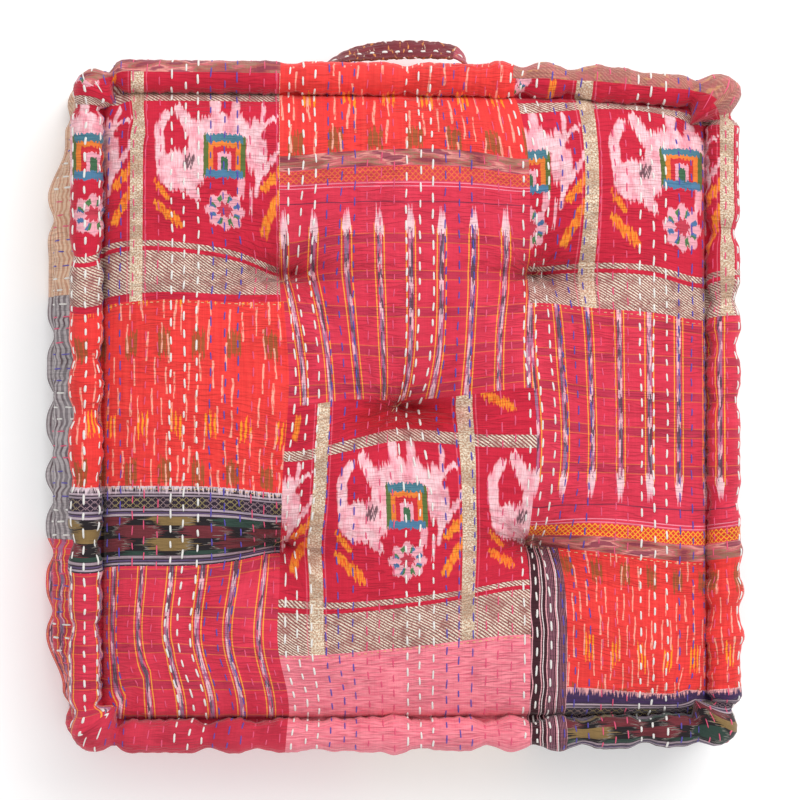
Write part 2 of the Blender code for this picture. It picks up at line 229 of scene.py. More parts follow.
@dataclass
class CushionForm:
    """The padded form under the cover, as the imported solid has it, with finer creases.

    All lengths are metres. Plan places are counted from the middle of the face.
    """

    half_width: float = 0.2625
    half_depth: float = 0.2694
    corner_radius: float = 0.020
    edge_height: float = 0.102
    roll_radius: float = 0.014
    groove_angle: float = 200.0
    side_angle: float = -70.0
    band_bow: float = 0.0059
    crown: float = 0.034
    crown_run: float = 0.105
    tuft_depth: float = 0.036
    tuft_reach: float = 0.040
    fold_depth: float = 0.005
    fold_width: float = 0.020
    row_depth: float = 0.0030
    valley_depth: float = 0.0100
    valley_reach: float = 0.050
    valley_width: float = 0.013
    valley_drop: float = 0.005
    ditch_depth: float = 0.0050
    ditch_width: float = 0.0036
    gather_depth: float = 0.0013
    gather_reach: float = 0.013
    under_run: float = 0.024
    under_lift: float = 0.0009
    under_tuft_depth: float = 0.016
    under_tuft_reach: float = 0.046
    ear_length: float = 0.013
    notch_width: float = 0.0045
    roll_pinch_width: float = 0.0095
    narrow_from: float = 0.120
    narrow_run: float = 0.170
    narrow_front: float = 0.0018
    narrow_back: float = 0.0088
    lean: float = 0.0235
    lean_height: float = 0.032
    lean_run: float = 0.130
    lean_middle: float = 0.010
    lean_front: float = 0.054
    lean_ends: tuple[Place, Place] = ((0.290, 0.030), (0.213, 0.045))
    tufts: tuple[Tuft, ...] = TUFTS

    def half(self, side: str) -> float:
        """Half the length of the groove along a side."""
        return self.half_width if side in ("back", "front") else self.half_depth

    def across(self, side: str) -> float:
        """How far a side's groove lies from the middle."""
        return self.half_depth if side in ("back", "front") else self.half_width

    def groove(self, side: str, along: Array) -> tuple[Array, Array]:
        """Place and outward normal on a side's groove, which rounds its corners.

        Args:
            side: back, front, left or right.
            along: places along the side, counted from its middle towards +X or +Y.

        Returns:
            Places and normals, each as an array of x and y.
        """
        straight = self.half(side) - self.corner_radius
        past = np.clip(np.abs(along) - straight, 0, None)
        turn = np.sign(along) * past / self.corner_radius * math.pi / 4
        run = np.clip(along, -straight, straight) + self.corner_radius * np.sin(turn)
        out = self.across(side) - self.corner_radius + self.corner_radius * np.cos(turn)
        sign = 1.0 if side in ("back", "right") else -1.0
        if side in ("back", "front"):
            return np.stack([run, sign * out], -1), np.stack([np.sin(turn), sign * np.cos(turn)], -1)
        return np.stack([sign * out, run], -1), np.stack([sign * np.cos(turn), np.sin(turn)], -1)

    def radius(self, side: str, along: Array, pinches: dict[str, tuple[Pinch, ...]]) -> Array:
        """Radius of the rolled edge along a side, with its pinches and its ears."""
        from_corner = self.half(side) - np.abs(along)
        radius = np.full_like(from_corner, self.roll_radius)
        for ear, here in zip(EARS[side], (along < 0, along >= 0)):
            swell = ear.swell * bell(from_corner, self.ear_length)
            radius = radius + np.where(
                here, swell - ear.depth * bell(from_corner - ear.at, self.notch_width), 0.0
            )
        for pinch in pinches[side]:
            radius = radius - pinch.depth * bell(along - pinch.at, self.roll_pinch_width)
            radius = radius + 0.22 * pinch.depth * bell(np.abs(along - pinch.at) - 0.019, 0.010)
        return radius

    @staticmethod
    def gathers(along: Array, shift: float) -> Array:
        """Uneven small gathers along a seam, from about -1 to 1."""
        bent = along + 0.0040 * np.sin(along / 0.021 + shift) + 0.0024 * np.sin(
            along / 0.0083 + 2.3 * shift
        )
        return 0.6 * np.sin(bent * 587.0) + 0.4 * np.sin(bent * 367.0 + shift)

    def section(self, side: str, along: Array, levels: EdgeLevels) -> tuple[Array, Array]:
        """Reach and height of every level of the edge at places along a side.

        Args:
            side: back, front, left or right.
            along: places along the side.
            levels: how the section is cut into rows.

        Returns:
            Reach from the groove and height, each of shape (levels, places).
        """
        angles = np.radians(levels.roll_angles(self.groove_angle, self.side_angle))[:, None]
        upper = self.radius(side, along, UPPER_PINCHES)[None]
        lower = self.radius(side, along, LOWER_PINCHES)[None]
        middle_up = self.edge_height - self.roll_radius
        from_groove = (angles[0] - angles) * self.roll_radius
        gather = self.gather_depth * self.gathers(along, len(side))[None]
        upper = upper + gather * (0.30 + 0.70 * np.exp(-((from_groove / self.gather_reach) ** 2)))
        top = (self.roll_radius + upper * np.cos(angles), middle_up + upper * np.sin(angles))
        shallow = 0.7 * smooth((self.half(side) - np.abs(along)) / 0.03) if side == "back" else 0.0
        top[1][:] -= self.ditch_depth * (1.0 - shallow) * np.exp(-((from_groove / self.ditch_width) ** 2))
        foot_angles = np.radians(levels.foot_angles(self.groove_angle, self.side_angle))[:, None]
        foot = (
            self.roll_radius + lower * np.cos(foot_angles), self.roll_radius - lower * np.sin(foot_angles)
        )
        share = levels.band_shares()[:, None]
        bow = self.band_bow * (1.0 - np.abs(2.0 * share - 1.0) ** 2.5)
        bow = bow + 0.6 * gather * np.sin(math.pi * share)
        band = tuple(a[-1] + (b[0] - a[-1]) * share + extra for a, b, extra in zip(top, foot, (bow, 0.0)))
        return np.concatenate([top[0], band[0], foot[0]]), np.concatenate([top[1], band[1], foot[1]])

    def padding(self, x: Array, y: Array) -> Array:
        """0 at the groove and 1 well inside it."""
        shares = []
        for off, half in ((np.abs(x), self.half_width), (np.abs(y), self.half_depth)):
            short = np.clip(1.0 - np.clip(half - off, 0, None) / self.crown_run, 0, 1)
            shares.append(np.sqrt(np.clip(1.0 - short * short, 0, None)))
        return shares[0] * shares[1]

    def face_height(self, x: Array, y: Array) -> Array:
        """Height of the face above the ground at plan places counted from the middle of the face."""
        wx, wy = x + MIDDLE_X, y + MIDDLE_Y
        pull = np.zeros_like(x)
        start = self.tufts[2]
        for tuft in self.tufts:
            run = np.array([tuft.x - start.x, tuft.y - start.y])
            length = float(run @ run)
            if length > 0:
                along = np.clip(((wx - start.x) * run[0] + (wy - start.y) * run[1]) / length, 0, 1)
                off = np.hypot(wx - start.x - along * run[0], wy - start.y - along * run[1])
                pull = np.maximum(pull, self.fold_depth * bell(off, self.fold_width))
        for tuft in self.tufts:
            away = np.hypot(wx - tuft.x, wy - tuft.y)
            pull = np.maximum(pull, self.tuft_depth * np.exp(-away / self.tuft_reach))
        for tuft in self.tufts:
            along = (wx - tuft.x) / self.valley_reach
            off = (wy - tuft.y + self.valley_drop) / self.valley_width
            pull = pull + self.valley_depth * np.exp(-(along**2) - off**2)
        row = bell(wy - 0.106, 0.007) * smooth((0.130 - np.abs(wx - 0.015)) / 0.030)
        pull = pull + self.row_depth * row
        swell = 0.0016 * np.sin(23.0 * wx + 0.7) * np.cos(27.0 * wy - 0.4)
        floor = self.edge_height - self.roll_radius + self.roll_radius * math.sin(
            math.radians(self.groove_angle)
        )
        near_x, near_y = self.half_width - np.abs(x), self.half_depth - np.abs(y)
        shallow = np.where((y > 0) & (near_y < near_x), 0.7 * smooth(near_x / 0.03), 0.0)
        groove = self.ditch_depth * np.exp(-((np.minimum(near_x, near_y) / self.ditch_width) ** 2)) * (
            1.0 - shallow
        )
        gather = self.gathers(x, 4.0) * np.exp(-near_y / self.gather_reach)
        gather = gather + self.gathers(y, 5.0) * np.exp(-near_x / self.gather_reach)
        return floor + (self.crown + swell - pull) * self.padding(x, y) - groove + self.gather_depth * gather

    def under_height(self, x: Array, y: Array) -> Array:
        """Height of the underside: on the ground but for the groove and the tufts."""
        near = np.clip(
            1.0 - np.minimum(self.half_width - np.abs(x), self.half_depth - np.abs(y)) / self.under_run, 0, 1
        )
        groove = self.roll_radius * (1.0 - math.sin(math.radians(self.groove_angle)))
        height = self.under_lift + groove * near * near
        for tuft in self.tufts:
            away = np.hypot(x + MIDDLE_X - tuft.x, y + MIDDLE_Y - tuft.y) / self.under_tuft_reach
            height = np.maximum(height, self.under_tuft_depth * np.clip(1.0 - away, 0, 1) ** 2)
        return height

    def lean_and_taper(self, points: Array) -> Array:
        """Moves points to the frame: the right end is narrower and the foot spreads to the left.

        Args:
            points: x, y and z counted from the middle of the face, any shape before the last axis.

        Returns:
            The same points in the frame, with none below the ground.
        """
        x = points[..., 0] + MIDDLE_X
        y = points[..., 1] + MIDDLE_Y
        z = points[..., 2]
        narrow = smooth((x - self.narrow_from) / self.narrow_run)
        back_share = 0.5 + 0.5 * (y - MIDDLE_Y) / self.half_depth
        y = y + narrow * (self.narrow_front * (1.0 - back_share) - self.narrow_back * back_share)
        low = 1.0 - smooth((z - self.lean_height) / self.lean_height)
        left = smooth((MIDDLE_X - self.half_width + self.lean_run - x) / self.lean_run)
        from_middle = y - self.lean_middle
        off = np.abs(from_middle) - np.where(from_middle > 0, 0.0, self.lean_front)
        (outer, outer_run), (inner, inner_run) = self.lean_ends
        spread = 0.40 * smooth((outer - off) / outer_run) + 0.60 * smooth((inner - off) / inner_run)
        return np.stack([x - self.lean * low * left * spread, y, np.clip(z, 0, None)], -1)


@dataclass
class EdgeLevels:
    """How the edge's section is cut into rows: the upper roll, the side band, and the lower roll."""

    roll: int = 30
    band: int = 12
    foot: int = 14

    def roll_angles(self, first: float, last: float) -> Array:
        """Angles of the upper roll's rows, in degrees."""
        return np.linspace(first, last, self.roll + 1)

    def foot_angles(self, first: float, last: float) -> Array:
        """Angles of the lower roll's rows, in degrees."""
        return np.linspace(last, first, self.foot + 1)

    def band_shares(self) -> Array:
        """Where the side band's own rows lie between the two rolls, from 0 to 1."""
        return np.arange(1, self.band) / self.band

    def count(self) -> int:
        """Number of rows of points."""
        return self.roll + 1 + self.band - 1 + self.foot + 1


@dataclass(frozen=True)
class Patch:
    """A piece of cloth in the face: its fabric, its rectangle on the chart, and where its own pattern lies.

    The pattern's coordinates are counted from (origin_u, origin_v). lean turns upright lines by that much a
    metre, and slope turns level ones.
    """

    fabric: Fabric
    left: float
    right: float
    bottom: float
    top: float
    origin_u: float
    origin_v: float
    lean: float = 0.0
    slope: float = 0.0
    fan: float = 0.0
    stretch: float = 1.0
    flip: bool = False


FAR = 1.0
LEFT_SEAM = -0.1050
RIGHT_SEAM = 0.1075

PATCHES = (
    Patch(Fabric.ELEPHANT, -FAR, -0.108, 0.085, FAR, -0.1552, 0.2134, stretch=1.02),
    Patch(Fabric.SCARLET, -FAR, LEFT_SEAM, -0.068, 0.085, -0.1478, 0.0514),
    Patch(Fabric.BORDER, -FAR, LEFT_SEAM, -0.136, -0.068, -0.200, -0.068),
    Patch(Fabric.STRIPE, -FAR, LEFT_SEAM, -FAR, -0.136, -0.1984, -0.0890, stretch=0.95),
    Patch(Fabric.SCARLET, -0.108, RIGHT_SEAM, 0.217, FAR, 0.0086, 0.2267, stretch=1.18),
    Patch(Fabric.STRIPE, -0.108, RIGHT_SEAM, 0.008, 0.217, 0.0042, 0.1663, -0.015, 0.0, -0.78),
    Patch(Fabric.ELEPHANT, LEFT_SEAM, RIGHT_SEAM, -0.207, 0.008, 0.002, -0.0857),
    Patch(Fabric.PINK_SILK, LEFT_SEAM, RIGHT_SEAM, -FAR, -0.207, 0.0, -0.25),
    Patch(Fabric.ELEPHANT, RIGHT_SEAM, FAR, 0.084, FAR, 0.2395, 0.2043, stretch=1.05),
    Patch(Fabric.STRIPE_BRIGHT, RIGHT_SEAM, FAR, -0.126, 0.084, 0.1847, -0.0737, stretch=0.94, flip=True),
    Patch(Fabric.DARK_STRIPE, RIGHT_SEAM, 0.139, -FAR, -0.126, 0.107, -0.2, stretch=1.1),
    Patch(Fabric.SCARLET, 0.139, FAR, -0.243, -0.126, 0.1435, -0.1448, stretch=-0.78),
    Patch(Fabric.BORDER_PALE, 0.139, FAR, -FAR, -0.243, 0.160, -0.243),
)


@dataclass
class CoverGrid:
    """The chart's grid: columns that the running stitches fall on, and rows that the patch seams fall on."""

    form: CushionForm
    stitch_pitch: float = 0.0107
    columns_per_stitch: int = 4
    rows: int = 200
    levels: EdgeLevels = field(default_factory=EdgeLevels)

    def columns(self) -> Array:
        """Chart places of the columns, from left to right."""
        count = 2 * round(self.form.half_width / (self.stitch_pitch / self.columns_per_stitch))
        cuts = np.linspace(-self.form.half_width, self.form.half_width, count + 1)
        return self.snapped(cuts, [edge for patch in PATCHES for edge in (patch.left, patch.right)])

    def lines(self) -> Array:
        """Chart places of the rows, from front to back."""
        cuts = np.linspace(-self.form.half_depth, self.form.half_depth, self.rows + 1)
        return self.snapped(cuts, [edge for patch in PATCHES for edge in (patch.bottom, patch.top)])

    @staticmethod
    def snapped(cuts: Array, edges: Sequence[float]) -> Array:
        """The cuts, with the nearest one moved onto each patch edge that lies among them."""
        cuts = cuts.copy()
        for edge in sorted(set(edges)):
            if cuts[0] < edge < cuts[-1]:
                nearest = 1 + int(np.argmin(np.abs(cuts[1:-1] - edge)))
                cuts[nearest] = edge
        return cuts


class CushionCover:
    """The closed cover of the cushion, as one mesh with its chart and its cloths."""

    def __init__(self, form: CushionForm, grid: CoverGrid) -> None:
        """Args: form is the padded form, and grid says how the chart is cut."""
        self.form = form
        self.grid = grid
        self.u = grid.columns()
        self.v = grid.lines()
        self.rng = np.random.default_rng(SEED)

    @staticmethod
    def drawn(u: Array, v: Array) -> tuple[Array, Array]:
        """How far the pulls draw the cloth at chart places, along u and along v."""
        by_u, by_v = np.zeros_like(u), np.zeros_like(v)
        for pull in PULLS:
            share = np.exp(-(((u - pull.u) / pull.reach_u) ** 2) - ((v - pull.v) / pull.reach_v) ** 2)
            by_u = by_u + pull.by_u * share
            by_v = by_v + pull.by_v * share
        for tuft in TUFTS:
            off_u, off_v = tuft.x - MIDDLE_X - u, tuft.y - MIDDLE_Y - v
            share = TUFT_DRAW * np.exp(-(off_u**2 + off_v**2) / TUFT_DRAW_REACH**2)
            by_u = by_u + off_u * share
            by_v = by_v + off_v * share
        return by_u, by_v

    def plan(self, u: Array, v: Array) -> tuple[Array, Array]:
        """Plan places of chart places inside the groove, with the pulls and the rounded corners."""
        form = self.form
        by_u, by_v = self.drawn(u, v)
        x = u + by_u * (1.0 - np.abs(u / form.half_width) ** 10)
        y = v + by_v * (1.0 - np.abs(v / form.half_depth) ** 10)
        share_x, share_y = np.abs(x) / form.half_width, np.abs(y) / form.half_depth
        share = np.clip(np.maximum(share_x, share_y), 1e-9, None)
        edge_x = np.where(share_y >= share_x, x / share, np.sign(x) * form.half_width)
        edge_y = np.where(share_y >= share_x, np.sign(y) * form.half_depth, y / share)
        along_back, _ = form.groove("back", edge_x)
        along_side, _ = form.groove("right", edge_y)
        round_x = np.where(share_y >= share_x, along_back[..., 0], np.sign(x) * along_side[..., 0])
        round_y = np.where(share_y >= share_x, np.sign(y) * along_back[..., 1], along_side[..., 1])
        blend = share**8
        return x + (round_x - edge_x) * blend, y + (round_y - edge_y) * blend

    def perimeter(self) -> list[tuple[int, int]]:
        """Grid indices round the chart's edge, counter-clockwise from the front left corner."""
        last_i, last_j = len(self.u) - 1, len(self.v) - 1
        return (
            [(i, 0) for i in range(last_i)]
            + [(last_i, j) for j in range(last_j)]
            + [(i, last_j) for i in range(last_i, 0, -1)]
            + [(0, j) for j in range(last_j, 0, -1)]
        )

    def side_of(self, i: int, j: int) -> str:
        """The side that a point on the chart's edge belongs to."""
        if j == 0:
            return "front"
        if j == len(self.v) - 1:
            return "back"
        return "right" if i > 0 else "left"

    def edge_rows(self) -> tuple[Array, Array, Array]:
        """The rows of points of the edge, from the groove of the face to the lower groove.

        Returns:
            Places in the frame, chart places and run of the section, by row and place round the edge.
        """
        form, loop = self.form, self.perimeter()
        levels = self.grid.levels
        places, chart, run = (np.zeros((levels.count(), len(loop), *size)) for size in ((3,), (2,), ()))
        sides = np.array([self.side_of(i, j) for i, j in loop])
        square = np.array([(self.u[i], self.v[j]) for i, j in loop])
        for side in ("back", "front", "left", "right"):
            here = sides == side
            axis = 0 if side in ("back", "front") else 1
            along = square[here, axis]
            _, normal = form.groove(side, along)
            nominal = form.section(side, np.zeros(1), levels)
            steps = np.hypot(np.diff(nominal[0][:, 0]), np.diff(nominal[1][:, 0]))
            arc = np.concatenate([[0.0], np.cumsum(steps)])[:, None]
            chart[:, here] = square[here][None] + normal[None] * arc[..., None]
            run[:, here] = arc
            by = self.drawn(chart[:, here, 0], chart[:, here, 1])[axis]
            fade = 1.0 - np.abs(along / form.half(side)) ** 10
            moved = along[None] + by * fade * np.exp(-((arc / 0.075) ** 2))
            for level in range(levels.count()):
                reach, height = form.section(side, moved[level], levels)
                place, out = form.groove(side, moved[level])
                flat = place + out * reach[level][:, None]
                points = np.concatenate([flat, height[level][:, None]], -1)
                places[level, here] = form.lean_and_taper(points)
        return places, chart, run

    def cloth_relief(self, u: Array, v: Array) -> Array:
        """Height that the running stitches and the puckers between them give the cloth, in metres."""
        phase = 2.0 * math.pi * u / self.grid.stitch_pitch
        channel = -0.00035 * (0.5 + 0.5 * np.cos(phase)) ** 2
        pucker = np.zeros_like(u)
        for size, wave, drift, shift in ((0.00050, 0.0086, 0.30, 0.3), (0.00038, 0.0127, -0.22, 1.9)):
            wander = 0.004 * np.sin(u / 0.031 + shift) + 0.003 * np.sin(u / 0.0173 + 2.1 * shift)
            pucker = pucker + size * np.sin(2.0 * math.pi * (v + drift * 0.1 * u + wander) / wave)
        return channel + pucker * (0.75 + 0.25 * np.sin(u / 0.047 + v / 0.061))

    def tuft_creases(self, x: Array, y: Array) -> Array:
        """Depth of the creases that run out of each tuft, mostly to the left and the right."""
        rng = np.random.default_rng(SEED)
        depth = np.zeros_like(x)
        for tuft in self.form.tufts:
            dx, dy = x + MIDDLE_X - tuft.x, y + MIDDLE_Y - tuft.y
            for base in (0, 180, 12, 168, -14, 194, 32, 148, -38, 218, 75, -100):
                angle = math.radians(base + rng.uniform(-7, 7))
                long = rng.uniform(0.026, 0.058) if abs(math.sin(angle)) < 0.4 else rng.uniform(
                    0.014, 0.028
                )
                along = dx * math.cos(angle) + dy * math.sin(angle)
                off = -dx * math.sin(angle) + dy * math.cos(angle)
                off = off + 0.0012 * np.sin(along / 0.006 + base)
                ramp = smooth(along / 0.006) * np.exp(-((np.clip(along, 0, None) / long) ** 2))
                depth = depth + 0.0034 * ramp * bell(off, 0.0020 + 0.045 * long)
        return depth

    def face_points(self) -> tuple[Array, Array]:
        """Places of the face's grid in the frame, and its chart places."""
        u, v = np.meshgrid(self.u, self.v)
        x, y = self.plan(u, v)
        padding = self.form.padding(x, y)
        height = self.form.face_height(x, y)
        height = height + padding * (self.cloth_relief(u, v) - self.tuft_creases(x, y))
        return self.form.lean_and_taper(np.stack([x, y, height], -1)), np.stack([u, v], -1)

    def under_points(self, step: int = 2) -> tuple[Array, Array, list[tuple[int, int]]]:
        """The underside's coarser grid inside the lower groove.

        Args:
            step: how many columns and rows of the face one of its cells spans.

        Returns:
            Places in the frame, chart places, and the grid index of each.
        """
        cells_i = list(range(step, len(self.u) - step, step))
        cells_j = list(range(step, len(self.v) - step, step))
        u, v = np.meshgrid(self.u[cells_i], self.v[cells_j])
        x, y = self.plan(u, v)
        height = self.form.under_height(x, y)
        places = self.form.lean_and_taper(np.stack([x, y, height], -1))
        indices = [(i, j) for j in cells_j for i in cells_i]
        return places, np.stack([u, v + UNDER_SHIFT], -1), indices

    @staticmethod
    def patch_at(u: float, v: float) -> Patch:
        """The patch of the face that a chart place lies in."""
        for patch in PATCHES:
            if patch.left <= u < patch.right and patch.bottom <= v < patch.top:
                return patch
        raise ValueError(f"no patch at {u:.3f}, {v:.3f}")

    @staticmethod
    def side_cloth(side: str, along: float) -> SideCloth:
        """The cloth of the side band at a place along a side."""
        for cloth in SIDE_CLOTHS:
            if side == cloth.side and cloth.start <= along < cloth.end:
                return cloth
        raise ValueError(f"no side cloth at {side} {along:.3f}")

    def build(self) -> Piece:
        """Makes the cover's mesh, with the chart and the cloth maps and a material number on each face for
        its cloth.

        Returns:
            The cover's object, with no materials yet.
        """
        face, face_chart = self.face_points()
        edge, edge_chart, run = self.edge_rows()
        under, under_chart, under_index = self.under_points()
        rows, columns = face.shape[:2]
        levels, around = edge.shape[:2]
        rim_start = rows * columns + (levels - 2) * around
        points = np.concatenate([face.reshape(-1, 3), edge[1:].reshape(-1, 3), under.reshape(-1, 3)])
        charts = np.concatenate(
            [face_chart.reshape(-1, 2), edge_chart[1:].reshape(-1, 2), under_chart.reshape(-1, 2)]
        )
        loop = self.perimeter()
        ids = np.arange(rows * columns).reshape(rows, columns)
        rings = rows * columns + np.arange((levels - 1) * around).reshape(levels - 1, around)
        rings = np.concatenate([[[ids[j, i] for i, j in loop]], rings])
        after = np.roll(rings, -1, axis=1)
        faces = self.quads(ids[:-1, :-1], ids[:-1, 1:], ids[1:, 1:], ids[1:, :-1])
        faces += self.quads(rings[:-1], rings[1:], after[1:], after[:-1])
        middle_u, middle_v = ((cuts[1:] + cuts[:-1]) / 2 for cuts in (self.u, self.v))
        patches = [self.patch_at(u, v) for v in middle_v for u in middle_u]
        cells = ((level, place) for level in range(levels - 1) for place in range(around))
        patches += [self.edge_patch(*cell, loop, run) for cell in cells]
        flat_from = len(faces)
        under_ids = {index: rim_start + around + n for n, index in enumerate(under_index)}
        faces += self.under_faces(loop, rings[-1], under_ids)
        plain = Patch(Fabric.UNDERSIDE, -FAR, FAR, -FAR, FAR, 0.0, UNDER_SHIFT)
        patches += [plain] * (len(faces) - flat_from)

        cover = new_mesh("cushion_cover", points.tolist(), faces)
        data = cover.data
        data.update()
        self.write_maps(data, charts, patches, flat_from, rim_start)
        data.polygons.foreach_set("material_index", [patch.fabric.value for patch in patches])
        data.shade_smooth()
        return cover

    @staticmethod
    def quads(*corners: Array) -> list[list[int]]:
        """Faces from the numbers of their first, second, third and fourth points."""
        return np.stack([corner.ravel() for corner in corners], -1).tolist()

    def edge_patch(self, level: int, place: int, loop: list[tuple[int, int]], run: Array) -> Patch:
        """The cloth of a cell of the edge: first the face's own, then the band's, then the underside's."""
        i, j = loop[place]
        after = loop[(place + 1) % len(loop)]
        side = self.side_of(*loop[place])
        if side != self.side_of(*after) and 0 in (after[0], after[1]):
            side = self.side_of(*after) if j not in (0, len(self.v) - 1) else side
        along = self.u[i] if side in ("back", "front") else self.v[j]
        cloth = self.side_cloth(side, along)
        distance = (run[level, place] + run[level + 1, place]) / 2
        if distance < cloth.roll_seam:
            u = (self.u[i] + self.u[after[0]]) / 2
            v = (self.v[j] + self.v[after[1]]) / 2
            return self.patch_at(u, v)
        fabric = cloth.fabric
        if level >= self.grid.levels.roll + self.grid.levels.band + self.grid.levels.foot // 2:
            fabric = Fabric.UNDERSIDE
        return Patch(fabric, -FAR, FAR, -FAR, FAR, *cloth.shift)

    def under_faces(
        self, loop: list[tuple[int, int]], rim: Array, ids: dict[tuple[int, int], int]
    ) -> list[tuple[int, ...]]:
        """The underside's cells, and the strip that joins its coarser grid to the edge."""
        faces: list[tuple[int, ...]] = []
        last_i = max(i for i, _ in ids)
        last_j = max(j for _, j in ids)
        for i, j in ids:
            if i < last_i and j < last_j:
                faces.append((ids[i, j], ids[i, j + 2], ids[i + 2, j + 2], ids[i + 2, j]))

        def nearest(i: int, j: int) -> tuple[int, int]:
            return min(max(2, i + i % 2), last_i), min(max(2, j + j % 2), last_j)

        ends = zip(loop, loop[1:] + loop[:1], rim.tolist(), np.roll(rim, -1).tolist())
        for here, after, first, second in ends:
            near, far = nearest(*here), nearest(*after)
            faces.append((first, ids[near], second))
            if near != far:
                faces.append((second, ids[near], ids[far]))
        return faces

    def write_maps(
        self,
        data: bpy.types.Mesh,
        charts: Array,
        patches: list[Patch],
        flat_from: int,
        rim_start: int,
    ) -> None:
        """Writes the two maps: the chart, one for the whole cover, and the cloth, anew for each patch.

        Args:
            data: the cover's mesh.
            charts: chart place of each point.
            patches: the patch of each face.
            flat_from: number of the first face of the underside.

            rim_start: number of that row's first point.
        """
        corners = np.empty(len(data.loops), np.int32)
        data.loops.foreach_get("vertex_index", corners)
        totals = np.empty(len(data.polygons), np.int32)
        data.polygons.foreach_get("loop_total", totals)
        owner = np.repeat(np.arange(len(totals)), totals)
        chart = charts[corners]
        square = np.array([(self.u[i], self.v[j] + UNDER_SHIFT) for i, j in self.perimeter()])
        on_rim = (owner >= flat_from) & (corners >= rim_start) & (corners < rim_start + len(square))
        chart[on_rim] = square[corners[on_rim] - rim_start]
        names = ("origin_u", "origin_v", "lean", "slope", "fan", "stretch", "flip")
        facts = {name: np.array([getattr(patch, name) for patch in patches])[owner] for name in names}
        across = chart[:, 0] - facts["origin_u"]
        up = chart[:, 1] - facts["origin_v"]
        level = np.where(facts["flip"], -1.0, 1.0) * (up - facts["slope"] * across)
        upright = (across - facts["lean"] * up + facts["fan"] * across * up) / facts["stretch"]
        cloth = np.stack([upright, level], -1)
        for name, values in (("chart", chart), ("cloth", cloth)):
            layer = data.uv_layers.new(name=name, do_init=False)
            layer.uv.foreach_set("vector", values.astype(np.float32).ravel())


@dataclass(frozen=True)
class SideCloth:
    """A cloth of the side band: its stretch of a side, and how far the face's cloth reaches over the roll."""

    fabric: Fabric
    side: str
    start: float
    end: float
    roll_seam: float
    shift: Place = (0.0, 0.0)


SIDE_CLOTHS = (
    SideCloth(Fabric.FLAME, "back", -FAR, LEFT_SEAM, 0.024),
    SideCloth(Fabric.SCARLET, "back", LEFT_SEAM, RIGHT_SEAM, 0.030),
    SideCloth(Fabric.BROCADE, "back", RIGHT_SEAM, FAR, 0.021),
    SideCloth(Fabric.BAND_BEIGE, "left", 0.098, FAR, 0.048),
    SideCloth(Fabric.BAND_GREY, "left", -0.115, 0.098, 0.048),
    SideCloth(Fabric.STRIPE, "left", -FAR, -0.115, 0.048, (0.0, 0.3)),
    SideCloth(Fabric.CRIMSON, "front", -FAR, LEFT_SEAM, 0.001),
    SideCloth(Fabric.STRIPE, "front", LEFT_SEAM, -0.040, 0.052, (0.0, 0.05)),
    SideCloth(Fabric.BAND_BEIGE, "front", -0.040, 0.115, 0.052),
    SideCloth(Fabric.BORDER, "front", 0.115, FAR, 0.052, (0.0, -0.310)),
    SideCloth(Fabric.SCARLET, "right", -FAR, -0.090, 0.050),
    SideCloth(Fabric.STRIPE, "right", -0.090, 0.120, 0.050, (0.0, 0.2)),
    SideCloth(Fabric.FLAME, "right", 0.120, 0.256, 0.050),
    SideCloth(Fabric.BROCADE, "right", 0.256, FAR, 0.027),
)

def dye(code: str) -> tuple[float, float, float, float]:
    """The linear colour of a cloth's dye, given as it looks on paper, such as #C41E38."""
    parts = [int(code[n : n + 2], 16) / 255 for n in (1, 3, 5)]
    linear = [part / 12.92 if part <= 0.04045 else ((part + 0.055) / 1.055) ** 2.4 for part in parts]
    return (*linear, 1.0)


class Signal:
    """A value that a node gives. The signs of arithmetic add nodes that reckon with it."""

    def __init__(self, owner: Sheet, socket: Socket) -> None:
        """Args: owner is where new nodes go, and socket is the output that gives the value."""
        self.sheet = owner
        self.socket = socket

    def __add__(self, other: Value) -> Signal:
        """The two together."""
        return self.sheet.math("ADD", self, other)

    def __sub__(self, other: Value) -> Signal:
        """This less the other."""
        return self.sheet.math("SUBTRACT", self, other)

    def __rsub__(self, other: Value) -> Signal:
        """The other less this."""
        return self.sheet.math("SUBTRACT", other, self)

    def __mul__(self, other: Value) -> Signal:
        """This times the other."""
        return self.sheet.math("MULTIPLY", self, other)

    def __truediv__(self, other: Value) -> Signal:
        """This divided by the other."""
        return self.sheet.math("DIVIDE", self, other)

    def __floordiv__(self, other: Value) -> Signal:
        """How many whole times the other goes into this."""
        return self.sheet.math("FLOOR", self / other)

    def __mod__(self, other: Value) -> Signal:
        """What this is past the last whole other."""
        return self.sheet.math("FLOORED_MODULO", self, other)

    def __lt__(self, other: Value) -> Signal:
        """1 where this is less."""
        return self.sheet.math("LESS_THAN", self, other)

    def __gt__(self, other: Value) -> Signal:
        """1 where this is greater."""
        return self.sheet.math("GREATER_THAN", self, other)

    def __abs__(self) -> Signal:
        """This without its sign."""
        return self.sheet.math("ABSOLUTE", self)

    def folded(self, repeat: float) -> Signal:
        """Where this lies in its repeat, counted from the repeat's middle."""
        return (self + repeat / 2) % repeat - repeat / 2


Value = Signal | bpy.types.NodeSocket | float | str | tuple[float, ...]
Paint = tuple[Value, Value]


